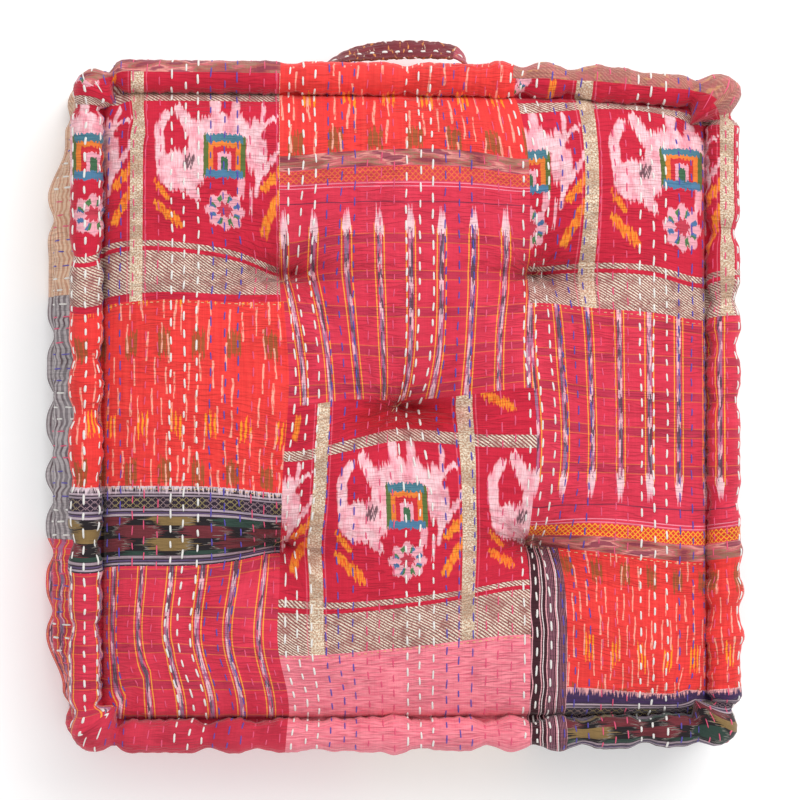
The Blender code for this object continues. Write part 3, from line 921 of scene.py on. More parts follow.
class Sheet:
    """Short ways to add nodes to one tree."""

    def __init__(self, tree: bpy.types.NodeTree) -> None:
        """Args: tree is the tree that the nodes go into."""
        self.tree = tree

    def add(self, kind: str, feeds: dict | None = None, **settings: object) -> bpy.types.Node:
        """A node of a kind, with its settings, and its inputs fed by name or number."""
        node = self.tree.nodes.new(kind)
        for name, value in settings.items():
            setattr(node, name, value)
        for name, value in (feeds or {}).items():
            self.feed(node.inputs[name], value)
        return node

    def feed(self, socket: Socket, value: Value) -> None:
        """Links a socket to a signal, or gives it a constant. A text that starts with # is a dye."""
        value = value.socket if isinstance(value, Signal) else value
        if isinstance(value, bpy.types.NodeSocket):
            self.tree.links.new(value, socket)
        else:
            socket.default_value = dye(value) if isinstance(value, str) and value[0] == "#" else value

    def math(self, operation: str, *values: Value, clamp: bool = False) -> Signal:
        """A sum of one to three values."""
        node = self.add("ShaderNodeMath", dict(enumerate(values)), operation=operation, use_clamp=clamp)
        return Signal(self, node.outputs[0])

    def vector(self, operation: str, *values: Value) -> Signal:
        """A sum of vectors."""
        node = self.add("ShaderNodeVectorMath", dict(enumerate(values)), operation=operation)
        plain = operation in ("LENGTH", "DOT_PRODUCT", "DISTANCE")
        return Signal(self, node.outputs["Value" if plain else "Vector"])

    def scaled(self, vector: Value, by: Value) -> Signal:
        """A vector or a colour times a number."""
        node = self.add("ShaderNodeVectorMath", {0: vector, "Scale": by}, operation="SCALE")
        return Signal(self, node.outputs["Vector"])

    def mix(self, share: Value, first: Value, second: Value) -> Signal:
        """The second colour laid over the first by a share."""
        node = self.add("ShaderNodeMix", {"Factor": share, "A": first, "B": second}, data_type="RGBA")
        return Signal(self, node.outputs["Result"])

    def place(self, x: Value, y: Value, z: Value = 0.0) -> Signal:
        """A vector from its parts."""
        return Signal(self, self.add("ShaderNodeCombineXYZ", {0: x, 1: y, 2: z}).outputs[0])

    def split(self, vector: Value) -> tuple[Signal, Signal]:
        """The x and y of a vector."""
        parts = self.add("ShaderNodeSeparateXYZ", {0: vector}).outputs
        return Signal(self, parts[0]), Signal(self, parts[1])

    def noise(self, vector: Value, scale: float = 1.0, detail: float = 2.0, ways: str = "2D") -> Signal:
        """Soft noise from 0 to 1, in two or three directions."""
        feeds = {"Vector": vector, "Scale": scale, "Detail": detail}
        return Signal(self, self.add("ShaderNodeTexNoise", feeds, noise_dimensions=ways).outputs[0])

    def grain(self, vector: Value, across: float, along: float, detail: float = 2.0) -> Signal:
        """Noise with grains of that many millimetres across and along the cloth."""
        return self.noise(self.vector("MULTIPLY", vector, (1.0 / across, 1.0 / along, 0.0)), 1.0, detail)

    def chance(self, *values: Value) -> Signal:
        """A number from 0 to 1 that is fixed by one or two whole numbers."""
        one = len(values) == 1
        feeds = {"W": values[0]} if one else {"Vector": self.place(*values)}
        node = self.add("ShaderNodeTexWhiteNoise", feeds, noise_dimensions="1D" if one else "2D")
        return Signal(self, node.outputs["Value"])

    def near(self, value: Value, middle: Value, reach: Value) -> Signal:
        """1 where the value lies within reach of the middle."""
        return self.math("COMPARE", value, middle, reach)

    def fade(self, value: Value, start: float, end: float) -> Signal:
        """Goes from 0 at start to 1 at end."""
        feeds = {"Value": value, "From Min": start, "From Max": end}
        return Signal(
            self, self.add("ShaderNodeMapRange", feeds, interpolation_type="SMOOTHSTEP").outputs["Result"]
        )

    def oval(self, at: Value, middle: Place, reach: Place, soft: float = 1.3) -> Signal:
        """1 inside an oval, fading over its last millimetres."""
        size = (1.0 / reach[0], 1.0 / reach[1], 0.0)
        scaled = self.vector("MULTIPLY_ADD", at, size, (-middle[0] / reach[0], -middle[1] / reach[1], 0.0))
        steep = min(reach) / soft
        return self.math("MULTIPLY_ADD", self.vector("LENGTH", scaled), -steep, steep, clamp=True)

    def stroke(self, at: Value, start: Place, end: Place, width: float, soft: float = 1.1) -> Signal:
        """1 within a stroke with round ends, fading over its last millimetres."""
        run = (end[0] - start[0], end[1] - start[1], 0.0)
        length = run[0] ** 2 + run[1] ** 2
        off = self.vector("SUBTRACT", at, (*start, 0.0))
        share = self.vector("DOT_PRODUCT", off, tuple(part / length for part in run))
        share = self.math("ADD", share, 0.0, clamp=True)
        away = self.vector("DISTANCE", off, self.scaled(run, share))
        return self.math("MULTIPLY_ADD", away, -1.0 / soft, width / 2 / soft, clamp=True)

    def box(self, x: Value, y: Value, middle: Place, reach: Place) -> Signal:
        """1 inside a rectangle."""
        return self.near(x, middle[0], reach[0]) * self.near(y, middle[1], reach[1])

    def joined(self, masks: Sequence[Signal]) -> Signal:
        """1 where any of the masks is."""
        found = masks[0]
        for mask in masks[1:]:
            found = self.math("MAXIMUM", found, mask)
        return found

    def bump(self, height: Value, strength: float, distance: float) -> Signal:
        """The normal over a height, which is counted in that distance."""
        feeds = {"Height": height, "Strength": strength, "Distance": distance}
        return Signal(self, self.add("ShaderNodeBump", feeds).outputs[0])

    def group(self, tree: bpy.types.NodeTree, **values: Value) -> dict[str, Signal]:
        """Places a node group and feeds its inputs by name. Returns its outputs by name."""
        node = self.add("ShaderNodeGroup", values, node_tree=tree)
        return {socket.name: Signal(self, socket) for socket in node.outputs}


class FinishSheet(Sheet):
    """A new material with its shader, some of whose inputs are set by name."""

    def __init__(self, name: str, values: dict[str, float]) -> None:
        """Args: name is the material's, and values are the shader's constants."""
        self.material = bpy.data.materials.new(name)
        self.material.use_nodes = True
        super().__init__(self.material.node_tree)
        self.shader = self.tree.nodes["Principled BSDF"].inputs
        for socket, value in values.items():
            self.feed(self.shader[socket], value)


class GroupSheet(Sheet):
    """A new node group, with its named inputs and outputs."""

    def __init__(self, name: str, inputs: dict[str, str], outputs: dict[str, str]) -> None:
        """Args: inputs and outputs give the kind of each socket by its name."""
        super().__init__(bpy.data.node_groups.new(name, "ShaderNodeTree"))
        for way, sockets in (("INPUT", inputs), ("OUTPUT", outputs)):
            for socket, kind in sockets.items():
                self.tree.interface.new_socket(socket, in_out=way, socket_type=f"NodeSocket{kind}")
        self.inlet = {socket.name: Signal(self, socket) for socket in self.add("NodeGroupInput").outputs}
        self.outlet = self.add("NodeGroupOutput").inputs


class ClothGroups:
    """The node groups that the cloths share. Places are in millimetres."""

    def __init__(self) -> None:
        """Builds every group once."""
        self.feather = self.make_feather()
        self.weave = self.make_weave()
        self.quilting = self.make_quilting_and_shade()
        self.twill = self.make_twill()

    @staticmethod
    def make_feather() -> bpy.types.NodeTree:
        """Ikat's feathered ends: each bundle of threads is dyed a little further along than the next."""
        g = GroupSheet(
            "ikat_feather", {"Cloth": "Vector", "Reach": "Float", "Bundle": "Float"}, {"Cloth": "Vector"}
        )
        across, up = g.split(g.inlet["Cloth"])
        bundle = across // g.inlet["Bundle"]
        step = g.chance(bundle) - 0.5
        wave = g.grain(g.inlet["Cloth"], 2.2, 40.0) - 0.5
        shift = (step + wave * 1.6) * g.inlet["Reach"]
        drift = (g.grain(g.inlet["Cloth"], 30.0, 6.0) - 0.5) * 1.6
        g.feed(g.outlet["Cloth"], g.place(across + drift, up + shift))
        return g.tree

    @staticmethod
    def make_weave() -> bpy.types.NodeTree:
        """The weave: slubs and fade in the colour, and the threads' own height."""
        g = GroupSheet(
            "plain_weave",
            {"Cloth": "Vector", "Colour": "Color", "Slub": "Float"},
            {"Colour": "Color", "Height": "Float"},
        )
        cloth = g.inlet["Cloth"]
        warp = g.grain(cloth, 0.75, 26.0, 3.0)
        weft = g.grain(cloth, 22.0, 0.8, 3.0)
        worn = g.grain(cloth, 34.0, 46.0, 3.0)
        streak = warp - 0.5 + (weft - 0.5)
        shade = streak * g.inlet["Slub"] + 1.0
        shade = shade * (worn * 0.26 + 0.87)
        g.feed(g.outlet["Colour"], g.scaled(g.inlet["Colour"], shade))
        across, up = g.split(cloth)
        rib = g.math("SINE", across * 9.0) * 0.5
        pick = g.math("SINE", up * 9.0) * 0.5
        height = rib * pick * 0.1 + streak * 0.16
        g.feed(g.outlet["Height"], height)
        return g.tree

    @staticmethod
    def make_quilting_and_shade() -> bpy.types.NodeTree:
        """What hand quilting does to cloth: fine creases across the stitched rows and out of each tuft, with
        painted shade darkening the colour in the creases and in the dip below each tuft.
        """
        g = GroupSheet(
            "hand_quilting", {"Chart": "Vector", "Colour": "Color"}, {"Colour": "Color", "Height": "Float"}
        )
        chart = g.inlet["Chart"]
        ripple = g.grain(chart, 30.0, 3.6, 1.5)
        ridge = abs(ripple - 0.5)
        crease = g.fade(ridge, 0.115, 0.0)
        swell = g.grain(chart, 9.0, 5.0, 1.0)
        where = g.fade(g.grain(chart, 60.0, 40.0, 1.0), 0.36, 0.60)
        crease = crease * (where * 0.65 + 0.35)
        off, away, shade = chart, 1000.0, 0.0
        for tuft in TUFTS:
            middle = ((tuft.x - MIDDLE_X) / MM, (tuft.y - MIDDLE_Y) / MM, 0.0)
            this_off = g.vector("SUBTRACT", chart, middle)
            this_away = g.vector("LENGTH", this_off)
            nearer = this_away < away
            off = g.mix(nearer, off, this_off)
            away = g.math("MINIMUM", this_away, away)
            shade = nearer * (tuft.shade - shade) + shade
        pointing = g.vector("NORMALIZE", off)
        _, steep = g.split(pointing)
        ray = g.scaled(pointing, 3.4)
        fan = g.noise(g.vector("ADD", ray, g.place(0.0, 0.0, away * 0.02)), 1.0, 3.0, "3D")
        line = g.fade(abs(fan - 0.5), 0.075, 0.0)
        level = abs(steep) * -0.7 + 1.0
        drawn = line * (g.fade(away, 64.0, 10.0) * level)
        # Painted shade: a dip below each tuft whose colour is pulled towards deep red, strongest at the
        # middle tuft.
        below = g.vector("MULTIPLY_ADD", off, (1.0 / 72.0, 1.0 / 27.0, 0.0), (0.0, 0.42, 0.0))
        hollow_shade = g.fade(g.vector("LENGTH", below), 1.0, 0.4) * shade
        height = crease * -0.75 + swell * 1.2
        g.feed(g.outlet["Height"], drawn * -1.5 + height)
        # Painted shade: the colour is darkened in the creases and along the lines drawn out of each tuft.
        dark = crease * -0.17 + 1.0
        dark = dark * g.math("MULTIPLY_ADD", drawn, -0.36, 1.0, clamp=True)
        darker = g.scaled(g.inlet["Colour"], dark)
        g.feed(
            g.outlet["Colour"], g.vector("MULTIPLY", darker, g.mix(hollow_shade, WHITE, (0.80, 0.26, 0.34, 1.0)))
        )
        return g.tree

    @staticmethod
    def make_twill() -> bpy.types.NodeTree:
        """Metallic twill: slanting floats of a light thread on a darker one."""
        g = GroupSheet(
            "metal_twill",
            {"Cloth": "Vector", "Pitch": "Float", "Light": "Color", "Dark": "Color", "Share": "Float"},
            {"Colour": "Color", "Height": "Float"},
        )
        across, up = g.split(g.inlet["Cloth"])
        wander = g.grain(g.inlet["Cloth"], 30.0, 30.0, 1.0) * 3.0
        slant = up * 0.84 + across * 0.55
        slant = (slant + wander) / g.inlet["Pitch"]
        part = g.math("PINGPONG", slant, 0.5)
        floats = g.inlet["Share"] * 0.5 - part
        floats = g.math("MULTIPLY_ADD", floats, 7.0, 0.5, clamp=True)
        worn = g.fade(g.grain(g.inlet["Cloth"], 1.5, 0.9, 2.0), 0.30, 0.46)
        patchy = g.fade(g.grain(g.inlet["Cloth"], 13.0, 18.0, 2.0), 0.33, 0.52)
        shown = floats * (worn * (patchy * 0.6 + 0.4))
        g.feed(g.outlet["Colour"], g.mix(shown, g.inlet["Dark"], g.inlet["Light"]))
        g.feed(g.outlet["Height"], shown * 0.35)
        return g.tree


@dataclass(frozen=True)
class ClothFinish:
    """A cloth of the cover. Subclasses paint its pattern, and this lays the weave and the quilting, with its
    painted shade, on it.
    """

    name: str
    roughness: float = 0.74
    sheen: float = 0.25
    slub: float = 0.26
    relief: float = 0.75

    def paint(self, s: Sheet, groups: ClothGroups, cloth: Signal) -> Paint:
        """The pattern's colour and its own height in millimetres, at a place on the cloth."""
        raise NotImplementedError

    def make(self, groups: ClothGroups) -> bpy.types.Material:
        """Builds the material.

        Args:
            groups: the node groups that cloths share.

        Returns:
            The finished material.
        """
        soft = {"Sheen Weight": self.sheen, "Sheen Roughness": 0.4, "Specular IOR Level": 0.25}
        s = FinishSheet(self.name, {"Roughness": self.roughness} | soft)
        cloth, chart = (
            s.vector(
                "MULTIPLY", s.add("ShaderNodeUVMap", uv_map=name).outputs[0], (1.0 / MM, 1.0 / MM, 0.0)
            )
            for name in ("cloth", "chart")
        )
        colour, own_height = self.paint(s, groups, cloth)
        woven = s.group(groups.weave, Cloth=cloth, Colour=colour, Slub=self.slub)
        # The quilting group's colour carries painted shade in the creases and round the tufts.
        quilted_and_shaded = s.group(groups.quilting, Chart=chart, Colour=woven["Colour"])
        height = woven["Height"] + quilted_and_shaded["Height"] + own_height
        s.feed(s.shader["Normal"], s.bump(height, self.relief, MM))
        s.feed(s.shader["Base Color"], quilted_and_shaded["Colour"])
        return s.material


@dataclass(frozen=True)
class ElephantCloth(ClothFinish):
    """Crimson ikat with an elephant under its canopy, gold stripes, and a twill band across its end.

    Places are counted from the middle of the canopy, in millimetres, with up towards the back.
    """

    repeat: float = 126.0
    ground: str = "#C61C38"
    pink: str = "#F7CBD2"
    brown: str = "#93504E"
    stripe_at: float = -74.5
    stripe_reach: float = 5.6
    upper_band: Place = (53.0, 4.8)
    thin_band: Place = (-81.5, 2.4)
    end_band: Place = (-104.6, 17.1)

    def animal(self, s: Sheet, at: Signal) -> Signal:
        """The elephant's outline: head, raised trunk, back, rump, legs and tail."""
        ovals = (
            ((-35.5, -12.0), (22.0, 19.5)),
            ((5.0, 25.0), (30.0, 12.5)),
            ((27.0, 5.0), (9.5, 24.0)),
            ((-21.0, 8.0), (10.0, 24.0)),
            ((-8.0, 43.0), (5.4, 11.0)),
            ((9.0, 42.0), (4.8, 9.5)),
        )
        strokes = (
            ((-54.0, -6.0), (-56.0, 22.0), 9.5),
            ((-56.0, 22.0), (-49.0, 37.0), 8.5),
            ((-38.0, 40.0), (-24.0, 16.0), 11.0),
            ((31.0, 27.0), (33.0, 44.0), 4.4),
            ((33.0, 29.0), (43.0, 34.0), 5.0),
            ((14.0, -18.0), (13.6, -33.0), 7.0),
            ((-28.0, -30.0), (-24.0, -37.0), 9.0),
            ((46.0, 9.0), (28.0, -19.0), 6.0),
            ((27.5, -19.0), (26.5, -33.0), 4.4),
            ((22.5, -28.0), (21.5, -46.0), 3.4),
        )
        masks = [s.oval(at, *shape) for shape in ovals] + [s.stroke(at, *shape) for shape in strokes]
        body = s.joined(masks)
        gaps = (
            ((-38.0, 15.0), (6.2, 13.0)),
            ((-18.0, 43.0), (3.8, 9.0)),
            ((2.4, 43.0), (4.0, 10.0)),
            ((21.0, 43.0), (6.6, 15.0)),
            ((32.5, 19.0), (2.6, 4.5)),
            ((24.0, -16.0), (2.2, 8.0)),
        )
        return s.math("SUBTRACT", body, s.joined([s.oval(at, *gap) for gap in gaps]), clamp=True)

    def canopy(self, s: Sheet, at: Signal, colour: Signal) -> Signal:
        """The nested squares on the elephant's back, open at the foot like a doorway."""
        x, y = s.split(at)
        layers = (
            ("#5A6A34", (0.0, 0.0), (17.6, 18.2)),
            ("#47788A", (0.0, 15.4), (15.4, 3.6)),
            ("#E27A30", (0.0, -0.6), (13.4, 12.6)),
            ("#C92A34", (0.0, -2.8), (9.4, 10.6)),
            ("#E9A0B0", (0.0, -5.4), (5.6, 8.2)),
            ("#3E6748", (0.0, -7.8), (2.9, 6.2)),
            ("#4A789A", (0.0, -15.4), (15.6, 3.4)),
        )
        for code, middle, reach in layers:
            colour = s.mix(s.box(x, y, middle, reach), colour, dye(code))
        return colour

    def flower(self, s: Sheet, at: Signal, colour: Signal, middle: Place) -> Signal:
        """A rosette of eight petals with dots of green and blue between them."""
        off = s.vector("SUBTRACT", at, (*middle, 0.0))
        x, y = s.split(off)
        turn = s.math("ARCTAN2", y, x)
        away = s.vector("LENGTH", off)
        lobes = s.math("COSINE", turn * 8.0)
        petals = s.math("SUBTRACT", lobes * 1.6 + 15.8, away, clamp=True)
        colour = s.mix(petals * 0.92, colour, "#ECA9B6")
        dots = s.near(away, 10.4, 2.6) * (lobes < -0.25)
        blue = s.math("SINE", turn * 2.0 + 0.8) > 0.0
        colour = s.mix(dots, colour, s.mix(blue, "#4F7A4B", "#4A6F9A"))
        heart = away < lobes * -1.2 + 6.0
        return s.mix(heart, colour, "#C43A4E")

    def paint(self, s: Sheet, groups: ClothGroups, cloth: Signal) -> Paint:
        """The ground, the dyed figures with feathered edges, and the woven gold over them."""
        across, up = s.split(cloth)
        flat = s.place(across.folded(self.repeat), up)
        at = s.group(groups.feather, Cloth=flat, Reach=5.0, Bundle=1.15)["Cloth"]
        fine = s.group(groups.feather, Cloth=flat, Reach=2.4, Bundle=1.0)["Cloth"]
        colour: Value = self.ground
        leaves = (
            ((52.0, -4.0), (33.0, -26.0), 8.0),
            ((47.0, -30.0), (32.0, -60.0), 8.5),
            ((-57.0, -24.0), (-48.0, -36.0), 6.0),
            ((-56.0, -44.0), (-38.0, -62.0), 8.5),
        )
        leafy = s.joined([s.stroke(at, *leaf) for leaf in leaves])
        before = across < -self.repeat / 2
        last_leaf = (across > self.repeat / 2) * s.stroke(at, (-65.0, 97.0), (-40.0, 79.0), 8.0)
        first_leaf = before * s.stroke(at, (29.0, 84.0), (27.0, 69.0), 6.0)
        leafy = s.joined([leafy, last_leaf, first_leaf])
        streak = s.fade(s.grain(cloth, 0.75, 9.0), 0.36, 0.58)
        leaf_colour = s.mix(streak, "#E8541F", "#F79A2B")
        colour = s.mix(leafy * 0.92, colour, leaf_colour)
        dyed = streak * 0.24 + 0.74
        faded = s.fade(s.grain(flat, 9.0, 14.0), 0.30, 0.62)
        pink = s.mix(faded, "#EFA3B1", self.pink)
        colour = s.mix(self.animal(s, at) * dyed, colour, pink)
        eye = s.oval(at, (-30.0, -5.5), (6.0, 6.0)) - s.oval(at, (-29.0, -6.0), (2.2, 2.0))
        colour = s.mix(eye * 0.9, colour, "#5A3A44")
        colour = self.canopy(s, fine, colour)
        colour = self.flower(s, fine, colour, (0.0, -47.0))
        upper = self.flower(s, fine, colour, (-4.0, 85.0))
        colour = s.mix(before, colour, upper)
        metal = s.group(
            groups.twill, Cloth=cloth, Pitch=2.15, Light="#F0E0CC", Dark=self.brown, Share=0.50
        )
        bands = s.joined([s.near(up, *band) for band in (self.upper_band, self.thin_band, self.end_band)])
        colour = s.mix(bands, colour, metal["Colour"])
        from_stripe = (across - self.stripe_at).folded(self.repeat)
        pink_lines = s.near(abs(from_stripe), self.stripe_reach + 2.2, 0.45)
        colour = s.mix(pink_lines * 0.55, colour, "#EE6F86")
        stripe = s.near(from_stripe, 0.0, self.stripe_reach)
        speck = s.fade(s.grain(cloth, 1.6, 1.2), 0.42, 0.60)
        tarnish = s.fade(s.grain(cloth, 30.0, 14.0, 1.0), 0.42, 0.66)
        gold = s.mix(speck, "#C49C80", "#F0E0C8")
        gold = s.mix(tarnish * 0.5, gold, "#A47A62")
        colour = s.mix(stripe, colour, gold)
        return (colour, s.math("MAXIMUM", bands, stripe) * metal["Height"])


@dataclass(frozen=True)
class ScarletCloth(ClothFinish):
    """Scarlet ikat: rows of olive tufts and of orange strokes, and pale dashes that wander down the warp.

    Places are counted from the middle of an olive tuft, in millimetres.
    """

    across_repeat: float = 29.1
    up_repeat: float = 108.0
    orange_at: float = 41.2
    orange_shift: float = 10.3
    dash_spacing: float = 9.7
    dash_length: float = 26.0
    dash_drift: float = 0.13

    def marks(self, s: Sheet, at: Signal, shift: Place, reach: Place, strokes: float) -> Signal:
        """A repeated cluster of three upright strokes."""
        x, y = s.split(at)
        x = (x - shift[0]).folded(self.across_repeat)
        y = (y - shift[1]).folded(self.up_repeat)
        cluster = s.box(x, y, (0.0, 0.0), reach)
        comb = s.math("COSINE", x * (2.0 * math.pi / (reach[0] * 0.78)))
        return cluster * s.fade(comb, strokes - 0.3, strokes + 0.3)

    def paint(self, s: Sheet, groups: ClothGroups, cloth: Signal) -> Paint:
        """The ground, then the olive and the orange rows, then the pale dashes."""
        ragged = s.group(groups.feather, Cloth=cloth, Reach=7.0, Bundle=0.9)["Cloth"]
        colour: Value = s.mix(s.grain(cloth, 3.0, 60.0), "#DD2B2D", "#F0433D")
        olive = self.marks(s, ragged, (0.0, 0.0), (5.4, 9.5), -0.9)
        colour = s.mix(olive * 0.82, colour, "#8E562A")
        orange = self.marks(s, ragged, (self.orange_shift, self.orange_at), (4.8, 9.0), 0.1)
        colour = s.mix(orange * 0.95, colour, "#FF9A22")
        across, up = s.split(cloth)
        sway = (s.grain(cloth, 9.0, 26.0) - 0.5) * 5.0
        leaning = up * -self.dash_drift + across + sway
        line = leaning // self.dash_spacing
        run = up / self.dash_length + s.chance(line) * 5.0
        cell = s.math("FLOOR", run)
        back = (s.math("FRACT", run) - 0.5) * (self.dash_length * self.dash_drift)
        from_line = leaning - line * self.dash_spacing
        from_line = from_line + back
        step = s.chance(line, cell) * 4.2 + (self.dash_spacing / 2 - 2.1)
        off = abs(from_line - step)
        dash = s.fade(off, 1.05, 0.35)
        long = s.math("FRACT", run) < 0.88
        shown = s.chance(cell, line) > 0.32
        dashes = dash * (long * shown)
        frayed = s.fade(s.grain(cloth, 1.0, 5.0), 0.30, 0.48)
        colour = s.mix(dashes * (frayed * 0.85), colour, "#FAB4A0")
        return colour, 0.0


@dataclass(frozen=True)
class StripeCloth(ClothFinish):
    """Crimson cloth with ikat stripes between yellow lines, thin double lines across, and an end border.

    Places are counted from the end of the middle stripe, with up towards the border.
    """

    repeat: float = 27.2
    core_reach: float = 2.0
    line_at: float = 4.0
    cross_repeat: float = 31.6
    cross_shift: float = 22.0
    cross_gap: float = 3.9
    band_ground: str = "#CE3A4A"
    band_net: str = "#E0693A"

    def paint(self, s: Sheet, groups: ClothGroups, cloth: Signal) -> Paint:
        """The ground, the lines across, the stripes with their feathered ends, and the border."""
        across, up = s.split(cloth)
        ground = s.mix(s.grain(cloth, 24.0, 60.0), "#C6213D", "#E43E57")
        x = across.folded(self.repeat)
        y = (up + self.cross_shift).folded(self.cross_repeat)
        below = up < -6.0
        pair = s.near(abs(y), self.cross_gap, 0.42)
        woven = s.math("FRACT", across * 0.9) > 0.25
        pair = pair * below * (woven * 0.3 + 0.5)
        colour = s.mix(pair, ground, "#E8713F")
        dusk = s.near(y, 0.0, self.cross_gap) * below
        colour = s.mix(dusk * 0.36, colour, "#7E2446")
        ragged = s.group(groups.feather, Cloth=cloth, Reach=9.0, Bundle=0.8)["Cloth"]
        _, dyed = s.split(ragged)
        lines = s.near(abs(x), self.line_at, 0.5) * (dyed < -12.0)
        colour = s.mix(lines, colour, "#F5A13A")
        segment = dyed // 8.5
        bundle = across // self.repeat
        pick = s.chance(segment, bundle)
        core_colour = s.mix(pick > 0.32, "#EFB6C0", "#66404F")
        core_colour = s.mix(pick > 0.68, core_colour, "#B7648A")
        thread = s.grain(cloth, 0.8, 20.0)
        core_colour = s.mix(s.fade(thread, 0.53, 0.66), core_colour, "#827792")
        core = s.near(x, 0.0, self.core_reach) * (dyed < -4.0)
        colour = s.mix(core, colour, core_colour)
        plume_reach = s.fade(up, -16.0, 4.0) * -1.6 + 3.9
        plume = s.near(x, 0.0, plume_reach) * s.near(dyed, -7.0, 9.0)
        bleach = s.fade(dyed, 4.0, -8.0)
        colour = s.mix(plume * 0.9, colour, s.mix(bleach, "#E8758F", "#F8CDD4"))
        hairline = s.near(up + s.grain(cloth, 40.0, 90.0) * 3.0, 10.0, 0.5)
        colour = s.mix(hairline * 0.8, colour, "#6E2740")
        return self.border(s, cloth, across, up, colour), 0.0

    def border(self, s: Sheet, cloth: Signal, across: Signal, up: Signal, colour: Signal) -> Signal:
        """The end border: pink lines, a band of small crosses, and a band of long flames."""
        colour = s.mix(s.near(abs(up - 22.5), 1.4, 0.4), colour, "#F08CA0")
        inside = s.near(up, 31.0, 5.8)
        diamond = s.math("COSINE", (across + up) * 1.35)
        other = s.math("COSINE", (across - up) * 1.35)
        net = s.math("MAXIMUM", diamond, other) > 0.72
        colour = s.mix(inside, colour, s.mix(net, self.band_ground, self.band_net))
        edge = s.near(abs(up - 31.0), 6.4, 0.4)
        colour = s.mix(edge, colour, "#D9506A")
        flame = flames(s, cloth)
        return s.mix(up > 37.4, colour, flame)


def flames(s: Sheet, cloth: Value) -> Signal:
    """Long weft flames in plum, olive brown and rose, as ikat makes them along the weft."""
    fray = s.grain(cloth, 15.0, 1.0) - 0.5
    long = s.grain(cloth, 34.0, 8.5, 1.0)
    value = fray * 0.2 + long
    colour = s.mix(s.fade(value, 0.36, 0.40), "#8E3A48", "#AA5450")
    colour = s.mix(s.fade(value, 0.44, 0.47), colour, "#A0705E")
    colour = s.mix(s.fade(value, 0.50, 0.53), colour, "#C8646A")
    colour = s.mix(s.fade(value, 0.57, 0.60), colour, "#D98C84")
    return s.mix(s.fade(value, 0.64, 0.67), colour, "#9A4A58")


@dataclass(frozen=True)
class FlameCloth(ClothFinish):
    """A cloth of weft flames alone."""

    def paint(self, s: Sheet, groups: ClothGroups, cloth: Signal) -> Paint:
        """The flames."""
        return flames(s, cloth), 0.0


@dataclass(frozen=True)
class BrocadeCloth(ClothFinish):
    """A brown metallic twill."""

    def paint(self, s: Sheet, groups: ClothGroups, cloth: Signal) -> Paint:
        """Twill all over."""
        metal = s.group(
            groups.twill, Cloth=cloth, Pitch=2.15, Light="#BC8271", Dark="#A5635A", Share=0.42
        )
        rosy = s.fade(s.grain(cloth, 7.0, 9.0, 3.0), 0.46, 0.62)
        colour = s.mix(rosy * 0.6, metal["Colour"], "#C4666A")
        ochre = s.fade(s.grain(cloth, 11.0, 6.0, 3.0), 0.58, 0.70)
        return (s.mix(ochre * 0.6, colour, "#D09A66"), metal["Height"])


